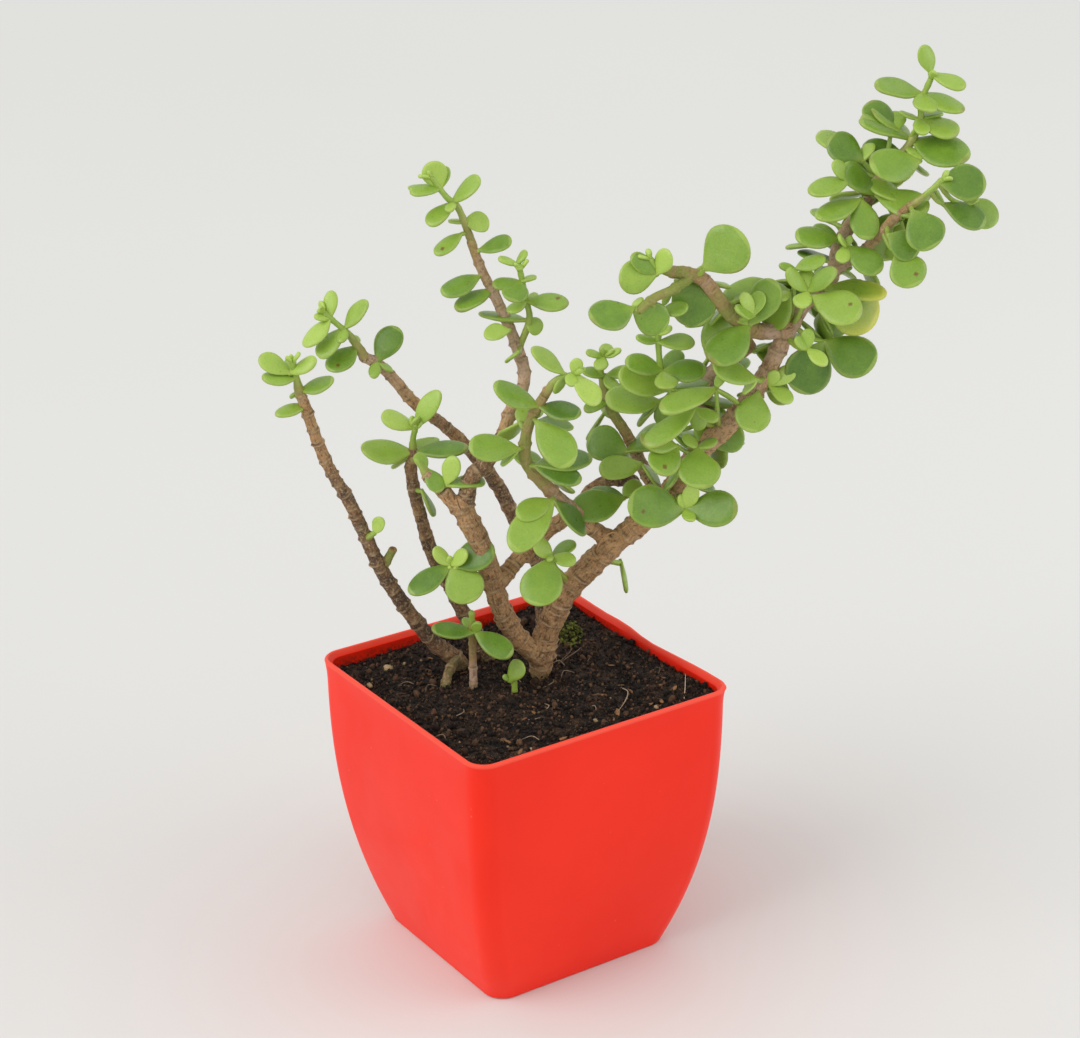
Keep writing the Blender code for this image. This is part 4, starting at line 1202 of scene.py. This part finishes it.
def add_leaf(shape, base, axes, length, width, dice, young, tone, yellow=0.0, spot=0.0):
    """One fleshy leaf with a short stalk, a rounded edge and its own bend."""
    along, face, across = (np.array(axis) for axis in axes)
    thick = 1.15 + 0.055 * length + dice.uniform(-0.1, 0.15)
    curl = dice.uniform(-0.10, 0.05)
    cup = dice.uniform(-0.12, 0.16)
    skew = dice.uniform(-0.05, 0.05)
    twist = dice.uniform(-0.25, 0.25)
    x = LEAF_PLACES
    half = np.maximum(outline(x) * width / 2, 0.62 * (1 - x))
    turn = np.arange(LEAF_SIDES) * math.tau / LEAF_SIDES
    flat = np.sign(np.cos(turn)) * np.abs(np.cos(turn)) ** 0.8
    deep = np.sign(np.sin(turn)) * np.abs(np.sin(turn)) ** 0.85
    rows, edge, under, place = [], [], [], []
    for xi, h in zip(x, half):
        body = min(1.0, h / (0.35 * width)) if xi > WIDEST else 1.0
        depth = thick / 2 * (0.62 + 0.38 * min(1.0, xi / 0.35)) * max(body, 0.0) ** 0.7
        v = flat * h
        w = deep * depth * np.where(deep > 0, 0.85, 1.15)
        w = w + cup * np.abs(v / (width / 2)) ** 2 * width * 0.5 * outline(xi)
        w = w + curl * xi * xi * length + twist * xi * v * 0.35
        v = v + skew * xi * xi * length
        w = w + 0.02 * width * math.sin(7 * xi + 9 * twist) * flat
        reach = np.full(LEAF_SIDES, xi * length)
        rows.append(np.outer(reach, along) + np.outer(v, across) + np.outer(w, face))
        edge.append(np.abs(flat) if xi < 0.93 else np.full(LEAF_SIDES, 1.0))
        under.append((deep < -0.05).astype(float))
        place.append(np.full(LEAF_SIDES, xi))
    tip = (length * along + (curl * length) * face + skew * length * across)[None, :]
    points = np.concatenate(rows + [tip]) + np.array(base)
    count = len(x)
    faces = ring_faces(count, LEAF_SIDES, last_cap=False)
    last = (count - 1) * LEAF_SIDES
    faces += [[last + i, last + (i + 1) % LEAF_SIDES, count * LEAF_SIDES] for i in range(LEAF_SIDES)]
    spots = np.zeros(len(points))
    if spot:
        far = np.linalg.norm(points - points[int(0.62 * count) * LEAF_SIDES + 4], axis=1)
        spots = np.clip(1 - far / 5.0, 0, 1) * spot
    shape.add(points, faces, tone=tone, young=young, yellow=yellow,
              edge=np.concatenate(edge + [[1.0]]), under=np.concatenate(under + [[0.5]]),
              along=np.concatenate(place + [[1.0]]), spot=spots)


def leaf_axes(heading, lean, tangent, facing=None):
    """The leaf's long axis, the way its upper face looks, and its width axis."""
    h, t = math.radians(heading), math.radians(lean)
    up = Vector((0, math.sin(FACE_LEAN), math.cos(FACE_LEAN)))
    front = Vector((0, -math.cos(FACE_LEAN), math.sin(FACE_LEAN)))
    along = math.cos(t) * (math.cos(h) * Vector((1, 0, 0)) + math.sin(h) * up) + math.sin(t) * front
    turn = Matrix.Rotation(PLANT_TURN, 3, "Z")
    along = (turn @ along).normalized()
    if facing is None:
        facing = 0.42 if lean >= 0 else -0.1
    if facing == "side":
        face = turn @ Vector((1, 0, 0.2))
    else:
        face = (1 - abs(facing)) * Vector((0, 0, 1.0)) + 0.3 * tangent + facing * (turn @ front)
    face = (face - face.dot(along) * along).normalized()
    return along, face, along.cross(face)


def place_on(line, share):
    """The point and the tangent at a share of a line's length."""
    lengths = [(b - a).length for a, b in zip(line, line[1:])]
    target = share * sum(lengths)
    for i, length in enumerate(lengths):
        if target <= length or i == len(lengths) - 1:
            part = min(1.0, target / length)
            return line[i].lerp(line[i + 1], part), (line[i + 1] - line[i]).normalized()
        target -= length


def nearest(line, point):
    return min(range(len(line)), key=lambda i: (line[i] - point).length)


def leaf_kind(kind, length, dice):
    """How young, how dark and how spotted a leaf is: its shares of the skin's colours."""
    young = {"young": 1.0, "fresh": 0.5}.get(kind, max(0.0, min(1.0, (11.5 - length) / 6.0)))
    tone = dice.uniform(0.0, 0.25) if kind == "dark" else dice.uniform(0.2, 1.0)
    return {"young": young, "tone": tone, "yellow": float(kind == "yellow"),
            "spot": float(kind == "spot")}


def grow_leaf(shape, base, tangent, leaf, dice):
    """A leaf from its heading, lean, length and, if given, its width share, facing and kind."""
    heading, lean, length = leaf[:3]
    wide, facing, kind = (leaf[3:] + (0, None, "")[len(leaf) - 3:])
    axes = leaf_axes(heading, lean, tangent, facing)
    width = length * (wide or dice.uniform(0.64, 0.8))
    if wide and wide < 0.6 and facing is None:
        # A leaf that is seen from its side is as wide as the others.
        width = length * max(wide, dice.uniform(0.6, 0.7))
    add_leaf(shape, base - LEAF_ROOT * axes[0], axes, length + LEAF_ROOT, width, dice,
             **leaf_kind(kind, length, dice))


def make_sprig(name, parent_line, end_radius, points, skin):
    """A shoot of its own where it has points, and leaf clusters on twigs from the nearest wood."""
    seed = sum(ord(letter) * (i + 1) for i, letter in enumerate(name)) % 1009
    dice = np.random.default_rng(seed)
    shape = Shape()
    wood_lines = [parent_line] if parent_line else []
    if points:
        line = stem_line(points, TWIG_STEP)
        wood_lines.append(line)
        starts_at_end = parent_line and (parent_line[-1] - line[0]).length < 5
        first = end_radius * 1.02 if starts_at_end else 1.3
        add_twig(shape, line, dice, first, 1.05, 0.9 if starts_at_end else 0.4)
        for place, *leaf in OWN_LEAVES.get(name, ()):
            base, tangent = place_on(line, place)
            grow_leaf(shape, base, tangent, tuple(leaf), dice)
        if len(points) > 2 and name != "hanging_sprig":
            add_buds(shape, line, dice)
    for place, *leaves in CLUSTERS.get(name, ()):
        base = turned([place])[0]
        line, i = min(((line, nearest(line, base)) for line in wood_lines),
                      key=lambda found: (found[0][found[1]] - base).length)
        start, gap, tangent = line[i], (line[i] - base).length, tangents(line)[i]
        if gap > 1.5:
            lift = Vector((0, 0, 0.12 * gap))
            twig = smooth_points([start, start.lerp(base, 0.5) - lift, base], TWIG_STEP)
            add_twig(shape, twig, dice, 1.0, 0.8, 0.35)
            tangent = (0.5 * tangent + (base - start).normalized()).normalized()
        for leaf in leaves:
            grow_leaf(shape, base, tangent, leaf, dice)
    if name in BACK_LEAVES:
        back_leaves(shape, wood_lines[0], dice, *BACK_LEAVES[name])
    shape.build(name + "_leaves", skin, name, "leaf")


def back_leaves(shape, line, dice, low, high, count):
    """Pairs of leaves on short twigs on the side of a stem that faces away from the camera."""
    turn = Matrix.Rotation(PLANT_TURN, 3, "Z")
    for k in range(count):
        point, tangent = place_on(line, low + (high - low) * (k + 0.5) / count)
        swing = math.radians(dice.uniform(-70, 70))
        away = turn @ Vector((math.sin(swing), math.cos(swing), 0.25))
        reach = dice.uniform(4.0, 8.0)
        base = point + reach * away.normalized()
        add_twig(shape, smooth_points([point, base], TWIG_STEP), dice, 1.0, 0.8, 0.35)
        heading = dice.uniform(0, 360)
        for side in (0, 180):
            length = dice.uniform(11, 17)
            leaf = (heading + side + dice.uniform(-20, 20), dice.uniform(-55, -20), length)
            grow_leaf(shape, base, tangent, leaf, dice)


def add_twig(shape, line, dice, first, last, bark):
    """The green twig, swollen at its nodes; bark is how brown it starts."""
    rings, brown = [], []
    phase = dice.uniform(0, 6)
    for k, (point, axes) in enumerate(zip(line, frames_along(line))):
        share = k / (len(line) - 1)
        swell = 0.10 * max(0.0, math.sin(k * 0.95 + phase)) ** 3 + 0.03 * dice.uniform(-1, 1)
        radius = (first + (last - first) * min(1.0, share * 1.5)) * (1 + swell)
        rings.append(circle(point, axes, radius, TWIG_SIDES))
        brown.append(np.full(TWIG_SIDES, bark * max(0.0, 1 - share * 1.4)))
    middle = rings[-1].mean(axis=0)
    tangent = np.array(tangents(line)[-1])
    for share, rise in ((0.8, 0.35), (0.4, 0.75)):
        rings.append(middle + (rings[len(line) - 1] - middle) * share + tangent * rise * last)
        brown.append(brown[-1])
    shape.add(np.concatenate(rings), ring_faces(len(rings), TWIG_SIDES), tone=0.6, young=0.25,
              edge=0.0, under=0.4, along=0.2, brown=np.concatenate(brown))


def add_buds(shape, line, dice):
    """Three tiny folded leaves at the growing tip."""
    tangent = tangents(line)[-1]
    side = tangent.orthogonal().normalized()
    start = dice.uniform(0, math.tau)
    for k in range(3):
        around = Matrix.Rotation(start + k * 2.2, 3, tangent) @ side
        along = (tangent + around * (0.35 + 0.25 * k)).normalized()
        face = (tangent - tangent.dot(along) * along).normalized()
        length = 3.2 + 1.0 * k
        axes = (along, face, along.cross(face))
        add_leaf(shape, line[-1] - 0.3 * along, axes, length, 0.55 * length, dice, young=1.0, tone=0.8)


# How old the bark looks from the start to the end of each stem, and whether it was pruned.
BARK = {
    "trunk": ((0.8, 0.78, 0.7, 0.55, 0.42), False),
    "left_fork": ((0.78, 0.8), False),
    "cut_spur": ((0.8, 0.65), True),
    "tall_stem": ((0.93, 0.9, 0.6, 0.5, 0.46, 0.3), False),
    "back_stem": ((0.95, 0.94, 0.92, 0.88, 0.45), False),
    "left_stem": ((0.95, 0.94, 0.9), False),
    "far_left_stem": ((0.9, 0.95, 0.93, 0.9, 0.7), False),
    "far_left_stub": ((0.3, 0.12), True),
    "root_arm": ((0.9, 0.85), False),
    "front_shoot": ((0.8, 0.45, 0.12), False),
    "link_branch": ((0.8, 0.7, 0.75, 1.0), False),
    "front_fork": ((0.78, 0.7, 0.42, 0.18, 0.2, 0.32), False),
    "middle_stem": ((0.95, 0.6, 0.22, 0.12), False),
    "cut_branch": ((0.8, 0.5, 0.45, 0.55, 0.6), True),
    "upper_arm": ((0.7, 0.3, 0.2, 0.4, 0.12), False),
    "arm_stub": ((0.1, 0.2), True),
    "right_branch": ((0.5, 0.4, 0.3), False),
}

# How much wider each rooted stem is where it meets the soil; the trunk narrows there.
FLARES = {"trunk": -0.28, "back_stem": 0.1, "left_stem": 0.1, "far_left_stem": 0.1}

# Hairs and fibres: a white hair that leans on the rim, a bent fibre, and hairs at the trunk.
THREADS = (
    (((58, -14, 101), (58.6, -11, 105), (59, -6, 109)), 0.13, 1.0),
    (((36, -3, 102), (38, -9, 103.5), (37, -15, 103), (34, -22, 102)), 0.22, 0.4),
    (((13, 20, 101), (18, 27, 103), (17, 34, 102)), 0.16, 0.15),
    (((12, 18, 101), (20, 24, 104), (22, 32, 102)), 0.15, 0.2),
    (((10, 24, 101), (14, 32, 104), (12, 40, 102)), 0.15, 0.1),
)

# Loose curled fibres of bark on the front of the trunk.
CURLS = (
    ((27, -1, 156), (29, -2.5, 161), (33, -3.5, 164), (36, -3, 161), (35, -2.5, 157), (31, -1, 156)),
    ((36, -3, 165), (39, -4.5, 168), (42, -5, 167), (41, -4, 163)),
    ((24, -1, 151), (27, -2.5, 154), (31, -2, 153)),
)

# Stones and bark chips that catch the eye: right, away, size, tone.
STONES = ((-50, 16, 1.7, 0.8), (-56, 2, 1.3, 0.7), (3, -47, 0.9, 1.0), (48, -17, 1.0, 0.8),
          (26, -27, 1.1, 0.6), (-44, 20, 0.9, 0.5))
CHIPS = ((-41, -17, 1.8, 0.2), (-32, -19, 2.0, 0.1), (-29, -23, 1.6, 0.3), (34, -21, 2.2, 0.9),
         (14, -40, 1.8, 1.0), (-1, -50, 1.8, 0.7), (50, -14, 1.6, 0.8))


def make_camera():
    """A camera that looks at a point above the pot from a given azimuth, height and roll."""
    az, el = CAMERA_AZIMUTH, CAMERA_ELEVATION
    back = Vector((math.sin(az) * math.cos(el), -math.cos(az) * math.cos(el), math.sin(el)))
    right = Vector((0, 0, 1)).cross(back).normalized()
    up = back.cross(right)
    c, s = math.cos(CAMERA_ROLL), math.sin(CAMERA_ROLL)
    aim = AIM_RIGHT * right + Vector((0, 0, AIM_HEIGHT))
    place = (aim + CAMERA_DISTANCE * back) * MM
    turn = Matrix((c * right + s * up, c * up - s * right, back)).transposed()
    data = bpy.data.cameras.new("camera")
    data.lens = LENS
    data.sensor_width = 36.0
    data.clip_start = 0.01
    data.clip_end = 20.0
    camera = bpy.data.objects.new("camera", data)
    camera.matrix_world = Matrix.Translation(place) @ turn.to_4x4()
    bpy.context.scene.collection.objects.link(camera)
    bpy.context.scene.camera = camera


def aim_light(obj, place, target):
    """Place a light given right, away and up from the middle of the pot."""
    place, target = turned([place, target])
    obj.location = place * MM
    obj.rotation_euler = (place - target).to_track_quat("Z", "Y").to_euler()


def add_light(name, kind, energy, place, target, colour=(1, 1, 1), **settings):
    data = bpy.data.lights.new(name, kind)
    data.energy = energy
    data.color = colour
    for key, value in settings.items():
        setattr(data, key, value)
    obj = bpy.data.objects.new(name, data)
    bpy.context.scene.collection.objects.link(obj)
    aim_light(obj, place, target)


def make_studio():
    bpy.context.scene.view_settings.view_transform = "Standard"
    world = bpy.data.worlds.new("studio")
    bpy.context.scene.world = world
    world.use_nodes = True
    world.node_tree.nodes["Background"].inputs["Color"].default_value = (1.0, 1.0, 0.99, 1.0)
    world.node_tree.nodes["Background"].inputs["Strength"].default_value = 0.81
    target = (0, 0, 130)
    warm = (1.0, 0.985, 0.96)
    add_light("sun", "SUN", 0.94, (-840, -430, 900), target, warm, angle=math.radians(45))
    add_light("softbox", "AREA", 4.5, (-1300, -1300, 1700), target, shape="DISK", size=1.3)
    add_light("right_card", "AREA", 7.0, (1700, -450, 900), target, shape="DISK", size=1.4)
    make_floor()


def make_floor():
    mesh = bpy.data.meshes.new("floor")
    reach = 6.0
    mesh.from_pydata([(-reach, -reach, 0), (reach, -reach, 0), (reach, reach, 0), (-reach, reach, 0)],
                     [], [(0, 1, 2, 3)])
    mesh.materials.append(floor_paint())
    floor = bpy.data.objects.new("floor", mesh)
    bpy.context.scene.collection.objects.link(floor)


def make_plant():
    """Bark on every woody stem, then the sprigs, which start from the stems' lines."""
    wood = bark_paint()
    skin = leaf_paint()
    lines = {}
    radii = {}
    for name, _, start, end, points in STEMS:
        shape = Shape()
        ages, pruned = BARK[name]
        radii[name] = end
        flare = FLARES.get(name, 0.0)
        lines[name] = add_stem(shape, name, start, end, points, ages, pruned, flare)
        shape.build(name + "_bark", wood, name, "bark")
    for name, parent, *points in SPRIGS:
        make_sprig(name, lines.get(parent), radii.get(parent, FREE_SPRIG_RADIUS), points, skin)


make_camera()
make_studio()
make_pot()
make_soil()
make_scraps()
make_plant()
